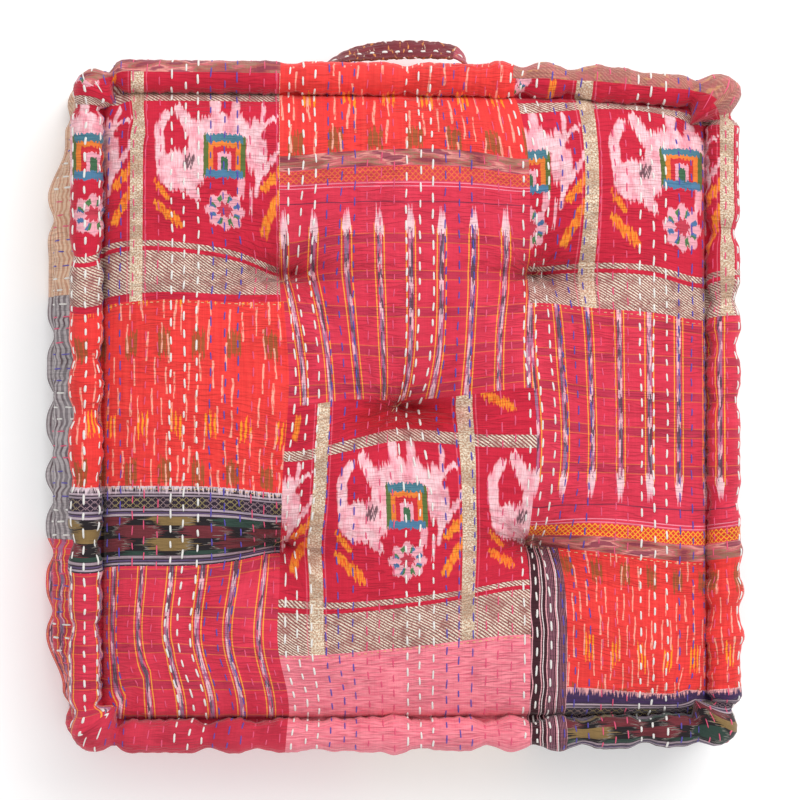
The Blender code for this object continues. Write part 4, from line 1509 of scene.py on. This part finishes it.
@dataclass(frozen=True)
class BorderCloth(ClothFinish):
    """A dark border: a comb of pale threads, small crosses, lines, and a broad band of long hexagons.

    Places are counted from the border's upper edge, with up positive.
    """

    head: str = "#DCC6CE"
    plain: str = "#432B55"
    plain_depth: float = 0.0
    cross_repeat: float = 6.6
    hexagon_repeat: float = 56.0
    hexagon_height: float = 10.9

    def paint(self, s: Sheet, groups: ClothGroups, cloth: Signal) -> Paint:
        """Each band from the upper edge down."""
        across, up = s.split(cloth)
        comb = s.group(groups.feather, Cloth=cloth, Reach=6.0, Bundle=0.55)["Cloth"]
        _, ragged = s.split(comb)
        top = up
        up = up + self.plain_depth
        cloth = s.place(across, up)
        colour: Value = s.mix(s.grain(cloth, 30.0, 2.0), "#2B2029", "#43333F")
        for middle, reach, code in (
            (-5.6, 0.8, "#B9A3AE"),
            (-8.2, 0.7, "#9B8996"),
            (-20.2, 0.9, "#A594A2"),
            (-22.8, 0.5, "#5D4A70"),
            (-24.6, 0.9, "#B5A3AC"),
            (-60.4, 1.1, "#A08C96"),
            (-63.4, 0.6, "#5D4A70"),
            (-65.8, 0.8, "#B09DAA"),
        ):
            colour = s.mix(s.near(up, middle, reach), colour, dye(code))
        for middle in (-14.2, -72.5):
            colour = self.crosses(s, across, up, middle, colour)
        colour = self.hexagons(s, cloth, across, up, colour)
        if self.plain_depth > 0:
            colour = s.mix(up > -4.0, colour, self.plain)
        ground = s.mix(s.fade(ragged, -4.5, -2.0), colour, self.head)
        scarlet = ragged > top * -1.0 + 1.5
        return s.mix(scarlet, ground, "#E02A26"), 0.0

    def crosses(self, s: Sheet, across: Signal, up: Signal, middle: float, colour: Signal) -> Signal:
        """A row of small crosses and eyes on purple black."""
        inside = s.near(up, middle, 4.9)
        x = s.math("PINGPONG", across, self.cross_repeat / 2)
        off = abs(up - middle)
        arm = s.near(x - off, 0.0, 0.55)
        eye = s.near(x + off, self.cross_repeat / 2 + 1.6, 0.4)
        marks = s.math("MAXIMUM", arm, eye)
        broken = s.math("FRACT", up * 1.1) > 0.3
        colour = s.mix(inside, colour, "#2C1F30")
        gold = s.fade(s.grain(across, 60.0, 60.0), 0.45, 0.55)
        pale = s.mix(gold, "#9C8088", "#A0905E")
        return s.mix(inside * (marks * broken), colour, pale)

    def hexagons(self, s: Sheet, cloth: Signal, across: Signal, up: Signal, colour: Signal) -> Signal:
        """The broad ikat band: green, ochre and maroon hexagons on black, feathered along the weft."""
        inside = s.near(up, -42.4, 16.4)
        offset = up + 0.7
        row = offset // self.hexagon_height
        fray = s.grain(cloth, 26.0, 0.8) - 0.5
        x = fray * 34.0 + across
        x = x + row * (self.hexagon_repeat / 2)
        cell = x // self.hexagon_repeat
        half = s.math("PINGPONG", x, self.hexagon_repeat / 2)
        off = offset % self.hexagon_height
        off = abs(off - self.hexagon_height / 2)
        rim_at = half - off * 1.2
        shape = rim_at > 7.0
        pick = s.chance(row, cell)
        body = s.mix(pick > 0.34, "#2C433A", "#8A6F44")
        body = s.mix(pick > 0.62, body, "#702A32")
        colour = s.mix(inside, colour, "#1E171B")
        colour = s.mix(inside * (shape * 0.92), colour, body)
        wisps = s.near(rim_at, 6.2, 1.6) * s.fade(fray, 0.0, 0.07)
        return s.mix(inside * wisps, colour, "#8F8880")


@dataclass(frozen=True)
class DarkStripeCloth(ClothFinish):
    """A dark selvedge with upright lines of rose, white and mauve."""

    def paint(self, s: Sheet, groups: ClothGroups, cloth: Signal) -> Paint:
        """The lines, from left to right."""
        across, up = s.split(cloth)
        sway = s.grain(cloth, 80.0, 34.0, 1.0) - 0.5
        x = sway * 5.0 + across
        colour: Value = "#3C1620"
        fine = s.fade(s.math("PINGPONG", x * 0.8, 0.5), 0.18, 0.32)
        for middle, reach in ((16.6, 2.6), (25.4, 2.8)):
            woven = s.mix(fine, "#96606F", "#45202F")
            colour = s.mix(s.near(x, middle, reach), colour, woven)
        for middle in (1.4, 8.4, 13.4, 20.6, 29.0):
            colour = s.mix(s.near(x, middle, 0.45), colour, "#E5A3AC")
        for middle in (10.2, 21.6):
            colour = s.mix(s.near(x, middle, 0.32), colour, "#F1E2E2")
        return colour, 0.0


@dataclass(frozen=True)
class SlubSilk(ClothFinish):
    """Plain salmon silk with thick and thin threads across."""

    light: str = "#FA8F9C"
    deep: str = "#E4687D"

    def paint(self, s: Sheet, groups: ClothGroups, cloth: Signal) -> Paint:
        """Slubs that run across the piece."""
        slubs = s.grain(cloth, 16.0, 1.3, 4.0)
        return s.mix(s.fade(slubs, 0.26, 0.70), self.deep, self.light), slubs


@dataclass(frozen=True)
class LinedCloth(ClothFinish):
    """A side band's cloth: two tones in blurred upright stripes, with a thin third."""

    first: str = "#D9A070"
    second: str = "#E7C59A"
    line: str = "#9A6A88"
    stripe: float = 7.0

    def paint(self, s: Sheet, groups: ClothGroups, cloth: Signal) -> Paint:
        """Blurred stripes with a line between them."""
        across, up = s.split(cloth)
        blur = s.grain(cloth, 1.2, 18.0) - 0.5
        wave = s.math("SINE", (blur * 3.0 + across) * (2.0 * math.pi / self.stripe))
        colour = s.mix(s.fade(wave, -0.4, 0.4), self.first, self.second)
        thin = s.near(wave, -0.9, 0.12) * 0.8
        patchy = s.fade(s.grain(cloth, 20.0, 20.0), 0.40, 0.60)
        return (s.mix(thin * patchy, colour, self.line), 0.0)


@dataclass(frozen=True)
class PlainCloth(ClothFinish):
    """A plain dyed cloth."""

    light: str = "#B3243A"
    deep: str = "#9A1830"

    def paint(self, s: Sheet, groups: ClothGroups, cloth: Signal) -> Paint:
        """One dye, a little uneven."""
        return s.mix(s.grain(cloth, 30.0, 22.0), self.deep, self.light), 0.0


@dataclass(frozen=True)
class StrapCloth(ClothFinish):
    """Dark maroon cloth with flecks of orange and white, as the strap is made of."""

    def paint(self, s: Sheet, groups: ClothGroups, cloth: Signal) -> Paint:
        """Maroon with feathered flecks."""
        at = s.group(groups.feather, Cloth=cloth, Reach=3.0, Bundle=0.9)["Cloth"]
        colour = s.mix(s.grain(cloth, 26.0, 8.0), "#631C26", "#86303A")
        along, round_ = s.split(cloth)
        folded = abs(abs(round_) - 12.5)
        worn = s.fade(folded, 5.0, 1.5) * s.fade(s.grain(at, 14.0, 3.0), 0.4, 0.55)
        colour = s.mix(worn * 0.8, colour, "#7E5636")
        end = s.fade(along, 147.0, 150.0) * s.fade(along, 174.0, 171.0)
        colour = s.mix(end * 0.75, colour, "#B84C5E")
        flecks = s.fade(s.grain(at, 3.4, 7.5, 1.0), 0.67, 0.73)
        colour = s.mix(flecks, colour, "#D78A45")
        pale = s.fade(s.grain(at, 2.2, 5.5, 1.0), 0.74, 0.79)
        return s.mix(pale, colour, "#D9C3A8"), 0.0


COVER_FINISHES = {
    Fabric.ELEPHANT: ElephantCloth("elephant_ikat"),
    Fabric.SCARLET: ScarletCloth("scarlet_ikat"),
    Fabric.STRIPE: StripeCloth("crimson_stripe_ikat"),
    Fabric.BROCADE: BrocadeCloth("brown_brocade"),
    Fabric.BORDER: BorderCloth("dark_border"),
    Fabric.DARK_STRIPE: DarkStripeCloth("dark_selvedge"),
    Fabric.PINK_SILK: SlubSilk("salmon_silk", roughness=0.55),
    Fabric.FLAME: FlameCloth("rose_flame_ikat"),
    Fabric.BAND_BEIGE: LinedCloth("sand_ikat", first="#CF9C80", second="#E2C0A4", line="#C07A66", stripe=4.2),
    Fabric.BAND_GREY: LinedCloth(
        "grey_striped_cotton", first="#857B7F", second="#B6ACAE", line="#54363E", stripe=5.0
    ),
    Fabric.UNDERSIDE: PlainCloth("underside_cotton"),
    Fabric.STRIPE_BRIGHT: StripeCloth(
        "crimson_stripe_ikat_bright", band_ground="#D8342E", band_net="#F6A72C"
    ),
    Fabric.BORDER_PALE: BorderCloth("dark_border_pale", head="#EBA7A8", plain_depth=9.0),
    Fabric.CRIMSON: PlainCloth("crimson_cotton", light="#D43850", deep="#B41E38"),
}


class Thread(Enum):
    """The threads of the running stitches, each with the width that shows."""

    WHITE = ("#F6F3EE", 0.00175)
    BLUE = ("#5543B5", 0.00115)
    PINK = ("#F0507C", 0.00115)
    PALE = ("#EFC08A", 0.00070)

    @property
    def width(self) -> float:
        """Width of the thread in metres."""
        return self.value[1]

    def material(self) -> bpy.types.Material:
        """Twisted cotton thread of this colour."""
        s = FinishSheet(f"thread_{self.name.lower()}", {"Roughness": 0.6, "Sheen Weight": 0.2})
        at = s.add("ShaderNodeTexCoord").outputs["Object"]
        x, y = s.split(s.vector("MULTIPLY", at, (1.0 / MM, 1.0 / MM, 1.0 / MM)))
        twist = s.math("SINE", x * 5.0 + y * 7.0)
        light = dye(self.value[0])
        shaded = tuple(0.78 * part for part in light[:3]) + (1.0,)
        s.feed(s.shader["Base Color"], s.mix(s.fade(twist, -0.9, 0.9), shaded, light))
        s.feed(s.shader["Normal"], s.bump(twist, 0.5, 0.0002))
        return s.material


@dataclass(frozen=True)
class StitchRow:
    """A row of running stitches on the chart."""

    start: Place
    end: Place
    thread: Thread
    length: float = 0.0082
    gap: float = 0.0050
    shift: float = 0.0


class StitchTree:
    """Geometry nodes that lay a stitch on each guide point of the chart and wrap it onto the cover."""

    INPUTS = {
        "Geometry": "Geometry",
        "Cover": "Object",
        "Stitch": "Object",
        "Length": "Float",
        "Width": "Float",
        "Sway": "Float",
        "Seed": "Int",
        "Material": "Material",
    }

    def __init__(self) -> None:
        """Builds the tree once."""
        self.tree = bpy.data.node_groups.new("running_stitch", "GeometryNodeTree")
        for name, kind in self.INPUTS.items():
            self.tree.interface.new_socket(name, in_out="INPUT", socket_type=f"NodeSocket{kind}")
        self.tree.interface.new_socket("Geometry", in_out="OUTPUT", socket_type="NodeSocketGeometry")
        self.fill()

    def fill(self) -> None:
        """Adds the nodes and their links."""
        s = Sheet(self.tree)
        inlet = s.add("NodeGroupInput").outputs
        ground, stitch = (
            s.add("GeometryNodeObjectInfo", {"Object": inlet[name]}, transform_space="ORIGINAL").outputs[
                "Geometry"
            ]
            for name in ("Cover", "Stitch")
        )

        def uneven(low: float, high: float, offset: int) -> Signal:
            """A number between the two for each stitch."""
            feeds = {2: low, 3: high, "Seed": s.math("ADD", inlet["Seed"], float(offset))}
            return Signal(s, s.add("FunctionNodeRandomValue", feeds, data_type="FLOAT").outputs[1])

        turn = s.add("GeometryNodeInputNamedAttribute", {"Name": "turn"}, data_type="FLOAT")
        swayed = uneven(-1.0, 1.0, 1) * inlet["Sway"] + turn.outputs["Attribute"]
        length = uneven(0.80, 1.18, 2) * inlet["Length"]
        width = uneven(0.88, 1.12, 3) * inlet["Width"]
        feeds = {"Points": inlet["Geometry"], "Instance": stitch, "Rotation": s.place(0.0, 0.0, swayed)}
        points = s.add("GeometryNodeInstanceOnPoints", feeds | {"Scale": s.place(width, length, width)})
        real = s.add("GeometryNodeRealizeInstances", {0: points.outputs[0]})
        here = s.add("GeometryNodeInputPosition").outputs[0]
        apart = s.add("ShaderNodeSeparateXYZ", {0: here}).outputs
        on_chart = s.place(apart[0], apart[1])
        chart = s.add("GeometryNodeInputNamedAttribute", {"Name": "chart"}, data_type="FLOAT_VECTOR").outputs
        found = []
        for source in (here, s.add("GeometryNodeInputNormal").outputs[0]):
            feeds = {0: ground, "Value": source, "Sample UV": on_chart}
            node = s.add("GeometryNodeSampleUVSurface", feeds, data_type="FLOAT_VECTOR")
            s.feed(
                node.inputs["UV Map" if "UV Map" in node.inputs else "Source UV Map"], chart["Attribute"]
            )
            found.append(node.outputs)
        lift = s.scaled(found[1]["Value"], apart[2])
        stray = s.math("SUBTRACT", 1.0, found[0]["Is Valid"])
        drop = s.add("GeometryNodeDeleteGeometry", {"Geometry": real.outputs[0], "Selection": stray})
        wrapped = s.vector("ADD", found[0]["Value"], lift)
        move = s.add("GeometryNodeSetPosition", {"Geometry": drop.outputs[0], "Position": wrapped})
        paint = s.add(
            "GeometryNodeSetMaterial", {"Geometry": move.outputs[0], "Material": inlet["Material"]}
        )
        s.feed(s.add("NodeGroupOutput").inputs["Geometry"], paint.outputs[0])

    def run(self, name: str, guide: Piece, values: dict[str, object]) -> Piece:
        """Runs the tree on a guide and returns the result as a plain mesh.

        Args:
            name: name of the new piece.
            guide: the object that holds the guide points. It is removed.
            values: the tree's inputs by name.

        Returns:
            The new piece.
        """
        modifier = guide.modifiers.new("stitches", "NODES")
        modifier.node_group = self.tree
        for item in self.tree.interface.items_tree:
            if item.in_out == "INPUT" and item.name in values:
                modifier[item.identifier] = values[item.name]
        graph = bpy.context.evaluated_depsgraph_get()
        data = bpy.data.meshes.new_from_object(guide.evaluated_get(graph), depsgraph=graph)
        data.name = name
        bpy.data.objects.remove(guide)
        return new_object(name, data)


def stitch_form(rings: int = 6, sides: int = 6) -> Piece:
    """One stitch of unit length along Y: a soft float whose ends dip into the cloth."""
    points, faces = [(0.0, -0.5, -0.35)], []
    for ring in range(rings):
        t = -0.47 + 0.94 * ring / (rings - 1)
        full = math.sqrt(max(0.0, 1.0 - (2.0 * t) ** 6))
        rise = 0.16 - 0.55 * abs(2.0 * t) ** 5
        for side in range(sides):
            angle = 2.0 * math.pi * side / sides
            points.append((0.5 * full * math.cos(angle), t, rise + 0.34 * full * math.sin(angle)))
    points.append((0.0, 0.5, -0.35))
    for side in range(sides):
        after = (side + 1) % sides
        faces.append((0, 1 + side, 1 + after))
        last = 1 + (rings - 1) * sides
        faces.append((len(points) - 1, last + after, last + side))
        for ring in range(rings - 1):
            base = 1 + ring * sides
            faces.append((base + side, base + sides + side, base + sides + after, base + after))
    form = new_mesh("stitch_form", points, faces)
    form.data.shade_smooth()
    return form


@dataclass
class Needlework:
    """Every running stitch of the cover, by thread."""

    form: CushionForm
    pitch: float = 0.0112
    first_line: float = 0.0124
    seam_stitch: float = 0.0030
    seam_gap: float = 0.0024

    def thread_of(self, line: int) -> Thread:
        """The thread of a row: three white, three blue, three pink."""
        return (Thread.WHITE, Thread.BLUE, Thread.PINK)[((line + 1) // 3) % 3]

    def face_rows(self) -> list[StitchRow]:
        """Rows from the front to the back, over the face and both rolls."""
        rows = []
        widest = self.form.half_width + 0.046
        for line in range(-math.ceil(widest / self.pitch) - 2, math.ceil(widest / self.pitch) + 1):
            at = self.first_line + line * self.pitch
            if abs(at) < widest:
                start, end = -self.form.half_depth - 0.050, self.form.half_depth + 0.040
                rows.append(
                    StitchRow((at, start), (at, end), self.thread_of(line), shift=0.37 * line % 1.0)
                )
        return rows

    def band_rows(self) -> list[StitchRow]:
        """Rows that run up and down the side band."""
        rows = []
        form = self.form
        first, last = 0.056, 0.110
        for line in range(-22, 23):
            at = line * self.pitch
            thread = self.thread_of(line)
            for sign in (-1.0, 1.0):
                out = sign * (form.half_depth + first), sign * (form.half_depth + last)
                if abs(at) < form.half_width - 0.01:
                    rows.append(StitchRow((at, out[0]), (at, out[1]), thread, shift=0.61 * line % 1.0))
                out = sign * (form.half_width + first), sign * (form.half_width + last)
                rows.append(StitchRow((out[0], at), (out[1], at), thread, shift=0.29 * line % 1.0))
        return rows

    def under_rows(self) -> list[StitchRow]:
        """Rows of the underside."""
        rows = []
        for line in range(-22, 23):
            at = line * self.pitch
            reach = self.form.half_depth - 0.012
            start, end = (at, UNDER_SHIFT - reach), (at, UNDER_SHIFT + reach)
            rows.append(StitchRow(start, end, Thread.WHITE, shift=0.37 * line % 1.0))
        return rows

    def guide(self, rows: Sequence[StitchRow], wander: float) -> Piece:
        """The guide points of some rows, one for each stitch, with the way each stitch turns.

        Args:
            rows: the rows.
            wander: how far a row strays to either side, in metres.

        Returns:
            An object whose points lie on the chart.
        """
        points, turns = [], []
        for number, row in enumerate(rows):
            start, end = Vector(row.start), Vector(row.end)
            run = end - start
            step = row.length + row.gap
            aside = Vector((-run.y, run.x)).normalized()
            turn = math.atan2(run.y, run.x) - math.pi / 2
            at = row.shift * step
            while at + row.length / 2 < run.length:
                phase = at / 0.043 + 2.4 * number
                stray = wander * (math.sin(phase) + 0.6 * math.sin(2.7 * phase + 1.0))
                slope = wander * (math.cos(phase) + 1.6 * math.cos(2.7 * phase + 1.0)) / 0.043
                place = start + run.normalized() * (at + row.length / 2) + aside * stray
                points.append((place.x, place.y, 0.0))
                turns.append(turn + math.atan(slope))
                at += step
        guide = new_mesh("stitch_guide", points, [])
        guide.data.attributes.new("turn", "FLOAT", "POINT").data.foreach_set("value", turns)
        return guide

    def tie_rows(self) -> list[StitchRow]:
        """The threads that show at each tuft: a short bar and the two ends of the knot."""
        rows = []
        bars = ((-4.6, 0.4, 4.8, 0.0), (1.2, 0.3, 6.0, 7.2), (-1.4, -0.4, -5.2, -6.8))
        for tuft in self.form.tufts:
            u, v = tuft.x - MIDDLE_X, tuft.y - MIDDLE_Y
            for x, y, end_x, end_y in bars:
                first, last = (u + x * MM, v + y * MM), (u + end_x * MM, v + end_y * MM)
                rows.append(StitchRow(first, last, Thread.PALE, 0.0076, 0.0060))
        return rows

    def seam_rows(self) -> list[StitchRow]:
        """Small stitches along the seams between the patches."""
        rows = []
        edge = self.form.half_width - 0.006
        for left, right, at in (
            (-edge, LEFT_SEAM, 0.0828),
            (-edge, LEFT_SEAM, -0.0702),
            (LEFT_SEAM, RIGHT_SEAM, -0.2092),
            (RIGHT_SEAM, edge, 0.0818),
            (RIGHT_SEAM, edge, -0.1282),
        ):
            seam = (Thread.PALE, self.seam_stitch, self.seam_gap)
            rows.append(StitchRow((left, at), (right, at), *seam))
        return rows

    def strap_rows(self) -> list[StitchRow]:
        """Stitches of the strap: a long seam along its middle, and bars at both sewn ends."""
        rows = [StitchRow((0.004, -0.0234), (0.190, -0.0234), Thread.WHITE, 0.0052, 0.0062)]
        for along in (0.005, 0.017, 0.176, 0.188):
            for start, end in ((-0.0240, -0.0135), (0.0135, 0.0240)):
                rows.append(StitchRow((along, start), (along, end), Thread.WHITE, 0.0040, 0.0016))
        flecks = ((0.087, 0.0150), (0.101, 0.0152), (0.114, 0.0144), (0.102, -0.0150), (0.112, -0.0154))
        for along, at in flecks:
            end = (along + 0.003, at + 0.0045)
            rows.append(StitchRow((along, at), end, Thread.WHITE, 0.0050, 0.0062))
        return rows

    def sew(self, cover: Piece, strap: Piece) -> list[Piece]:
        """Lays every stitch on the cover and the strap.

        Args:
            cover: the cover, with its chart.
            strap: the strap, with its own chart.

        Returns:
            One piece for each thread and part of the cushion.
        """
        tree = StitchTree()
        stitch = stitch_form()
        threads = {thread: thread.material() for thread in Thread}
        pieces = []
        areas = (
            ("face", cover, self.face_rows()),
            ("band", cover, self.band_rows()),
            ("under", cover, self.under_rows()),
            ("tuft", cover, self.tie_rows()),
            ("seam", cover, self.seam_rows()),
            ("strap", strap, self.strap_rows()),
        )
        for area, ground, rows in areas:
            for thread in Thread:
                held = [row for row in rows if row.thread is thread]
                if not held:
                    continue
                values = {
                    "Cover": ground,
                    "Stitch": stitch,
                    "Length": held[0].length,
                    "Width": thread.width,
                    "Sway": 0.10,
                    "Seed": SEED,
                    "Material": threads[thread],
                }
                piece = tree.run(f"stitches_{area}_{thread.name.lower()}", self.guide(held, 0.0006), values)
                LOG.info("%s: %d faces", piece.name, len(piece.data.polygons))
                pieces.append(piece)
        bpy.data.objects.remove(stitch)
        return pieces


@dataclass(frozen=True)
class PaleFloor:
    """A matt white studio floor."""

    colour: tuple[float, float, float, float] = (0.93, 0.93, 0.93, 1.0)
    glow: float = 0.14

    def make(self) -> bpy.types.Material:
        """Builds the floor's material, with a faint unevenness."""
        glow = {"Emission Color": WHITE, "Emission Strength": self.glow}
        s = FinishSheet("pale_floor", {"Roughness": 0.9, "Specular IOR Level": 0.1} | glow)
        at = s.add("ShaderNodeTexCoord").outputs["Object"]
        darker = tuple(0.98 * part for part in self.colour[:3]) + (1.0,)
        s.feed(s.shader["Base Color"], s.mix(s.noise(at, 3.0), self.colour, darker))
        return s.material


@dataclass(frozen=True)
class Lamp:
    """A square soft light, with its place, its side and its power."""

    name: str
    at: tuple[float, float, float]
    side: float
    power: float


@dataclass
class Studio:
    """The floor, the camera above the cushion and the soft lights round it."""

    lens: float = 110.0
    target: tuple[float, float, float] = (0.0018, -0.0045, 0.095)
    offset: tuple[float, float, float] = (-0.15, -0.06, 2.10)
    sky: float = 0.765
    lit: Vector = field(default_factory=lambda: Vector((0.0, 0.0, 0.05)))
    lamps: tuple[Lamp, ...] = (
        Lamp("back_key", (0.9, 1.35, 1.8), 1.9, 37.5),
        Lamp("front_fill", (-0.4, -1.7, 1.6), 0.9, 3.0),
        Lamp("left_fill", (-1.8, 0.2, 1.4), 1.2, 1.0),
    )

    def build(self) -> None:
        """Makes the stage, the camera and the lights."""
        scene = bpy.context.scene
        floor = new_mesh("floor", [(-6, -6, 0), (6, -6, 0), (6, 6, 0), (-6, 6, 0)], [(0, 1, 2, 3)])
        floor.data.materials.append(PaleFloor().make())
        camera = new_object("camera", bpy.data.cameras.new("camera"))
        camera.data.lens = self.lens
        back = Vector(self.offset).normalized()
        right = Vector((0.0, 1.0, 0.0)).cross(back).normalized()
        camera.location = Vector(self.target) + Vector(self.offset)
        camera.rotation_euler = Matrix((right, back.cross(right), back)).transposed().to_euler()
        scene.camera = camera
        world = bpy.data.worlds.new("studio")
        world.use_nodes = True
        background = world.node_tree.nodes["Background"].inputs
        background["Strength"].default_value = self.sky
        background["Color"].default_value = WHITE
        scene.world = world
        for lamp in self.lamps:
            light = new_object(lamp.name, bpy.data.lights.new(lamp.name, "AREA"))
            light.data.size = lamp.side
            light.data.energy = lamp.power
            light.location = lamp.at
            light.rotation_euler = (self.lit - light.location).to_track_quat("-Z", "Y").to_euler()
        scene.view_settings.view_transform = "Standard"


@dataclass(frozen=True)
class StrapStation:
    """A place on the strap: along X, reach from the band, drop, and lean of its outer face in degrees."""

    x: float
    reach: float
    drop: float
    lean: float


@dataclass
class CarryStrap:
    """The carrying strap: a folded strip of cloth, sewn flat to the side band at both ends."""

    groups: ClothGroups
    width: float = 0.025
    thickness: float = 0.0042
    band_face: float = 0.2874
    middle_height: float = 0.051
    stations_per_stretch: int = 9
    points_round: int = 24
    route: tuple[StrapStation, ...] = (
        StrapStation(-0.092, 0.0, 0.0, 0.0),
        StrapStation(-0.078, 0.0, 0.0, 0.0),
        StrapStation(-0.065, 0.0020, 0.0, 4.0),
        StrapStation(-0.050, 0.0092, 0.0010, 22.0),
        StrapStation(-0.035, 0.0142, 0.0020, 36.0),
        StrapStation(-0.015, 0.0176, 0.0035, 46.0),
        StrapStation(0.006, 0.0194, 0.0045, 48.0),
        StrapStation(0.030, 0.0196, 0.0040, 46.0),
        StrapStation(0.048, 0.0178, 0.0020, 40.0),
        StrapStation(0.056, 0.0152, 0.0010, 32.0),
        StrapStation(0.0625, 0.0070, 0.0, 12.0),
        StrapStation(0.0665, 0.0008, 0.0, 2.0),
        StrapStation(0.077, 0.0, 0.0, 0.0),
        StrapStation(0.090, 0.0, 0.0, 0.0),
    )

    def stations(self) -> Array:
        """The route as a smooth curve: an array of x, reach, drop and lean."""
        rows = np.array([(s.x, s.reach, s.drop, s.lean) for s in self.route])
        padded = np.concatenate([rows[:1], rows, rows[-1:]])
        found = []
        for before, start, end, after in zip(padded, padded[1:], padded[2:], padded[3:]):
            for step in range(self.stations_per_stretch):
                t = step / self.stations_per_stretch
                bend = (2 * before - 5 * start + 4 * end - after) * t**2
                turn = (3 * start - before - 3 * end + after) * t**3
                found.append(0.5 * (2 * start + (end - before) * t + bend + turn))
        return np.maximum(np.array(found + [rows[-1]]), [-1.0, 0.0, 0.0, 0.0])

    def outline(self, along: float) -> Array:
        """The section at a distance along the strap: thin at its middle seam, full at its folded edges.

        Args:
            along: distance along the strap in metres.

        Returns:
            Places out from the band and up the strap's width, one row for each point.
        """
        turn = np.linspace(0.0, 2.0 * math.pi, self.points_round, endpoint=False)
        up = np.sign(np.sin(turn)) * np.abs(np.sin(turn)) ** 0.75
        out = np.sign(np.cos(turn)) * np.abs(np.cos(turn)) ** 0.55
        seam = 1.0 - 0.42 * bell(up, 0.20) - 0.20 * bell(np.abs(up) - 0.78, 0.10)
        pucker = 0.10 * np.sin(along * 820.0 + 2.0 * up) + 0.08 * np.sin(along * 451.0 - 3.0 * up)
        ragged = 0.05 * np.sin(along * 530.0) + 0.03 * np.sin(along * 1310.0 + 1.0)
        outside = np.where(out > 0, 1.0, 0.7)
        out = out * outside * (seam + pucker * np.where(out > 0, 1.0, 0.0)) * self.thickness / 2
        return np.stack([out, up * (1.0 + ragged) * self.width / 2], -1)

    def build(self) -> Piece:
        """Makes the strap's mesh with its two maps, in metres along and round the strap."""
        route = self.stations()
        places = np.stack([route[:, 0], self.band_face + route[:, 1], self.middle_height - route[:, 2]], -1)
        steps = np.linalg.norm(np.diff(places, axis=0), axis=1)
        along = np.concatenate([[0.0], np.cumsum(steps)])
        ways = np.gradient(places, axis=0)
        points = []
        for place, way, lean, run in zip(places, ways, np.radians(route[:, 3]), along):
            flat = np.array([-way[1], way[0], 0.0]) / math.hypot(way[0], way[1])
            out = math.cos(lean) * flat + np.array([0.0, 0.0, math.sin(lean)])
            up = np.array([0.0, 0.0, math.cos(lean)]) - math.sin(lean) * flat
            points += [place + out * a + up * b for a, b in self.outline(run)]
        count, round_ = len(places), self.points_round
        faces = [tuple(range(round_))[::-1], tuple((count - 1) * round_ + n for n in range(round_))]
        ends = [[(at, n * MM) for n in range(round_)] for at in (along[0], along[-1])]
        maps = [ends[0][::-1], ends[1]]
        girth = np.linspace(-self.width, self.width, round_ + 1)
        for ring in range(count - 1):
            for side in range(round_):
                after, base = (side + 1) % round_, ring * round_
                faces.append((base + side, base + round_ + side, base + round_ + after, base + after)[::-1])
                square = ((ring, side), (ring + 1, side), (ring + 1, side + 1), (ring, side + 1))
                maps.append([(along[r], girth[n]) for r, n in square][::-1])
        strap = new_mesh("strap_cloth", [tuple(point) for point in points], faces)
        for name in ("chart", "cloth"):
            layer = strap.data.uv_layers.new(name=name, do_init=False)
            layer.uv.foreach_set("vector", np.array([c for ring in maps for c in ring], np.float32).ravel())
        strap.data.shade_smooth()
        strap.data.materials.append(StrapCloth("maroon_strap_cloth").make(self.groups))
        return strap


def main() -> None:
    """Builds the pieces in order."""
    logging.basicConfig(level=logging.INFO, format="%(message)s")
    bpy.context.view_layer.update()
    groups = ClothGroups()
    form = CushionForm()
    cover = CushionCover(form, CoverGrid(form)).build()
    for fabric in Fabric:
        cover.data.materials.append(COVER_FINISHES[fabric].make(groups))
    LOG.info("cover: %d faces", len(cover.data.polygons))
    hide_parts("cushion")
    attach(cover, "root")
    strap = CarryStrap(groups=groups).build()
    LOG.info("strap: %d faces", len(strap.data.polygons))
    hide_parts("carry_strap")
    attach(strap, "root")
    for piece in Needlework(form).sew(cover, strap):
        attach(piece, "root")
    Studio().build()


if __name__ == "__main__":
    main()
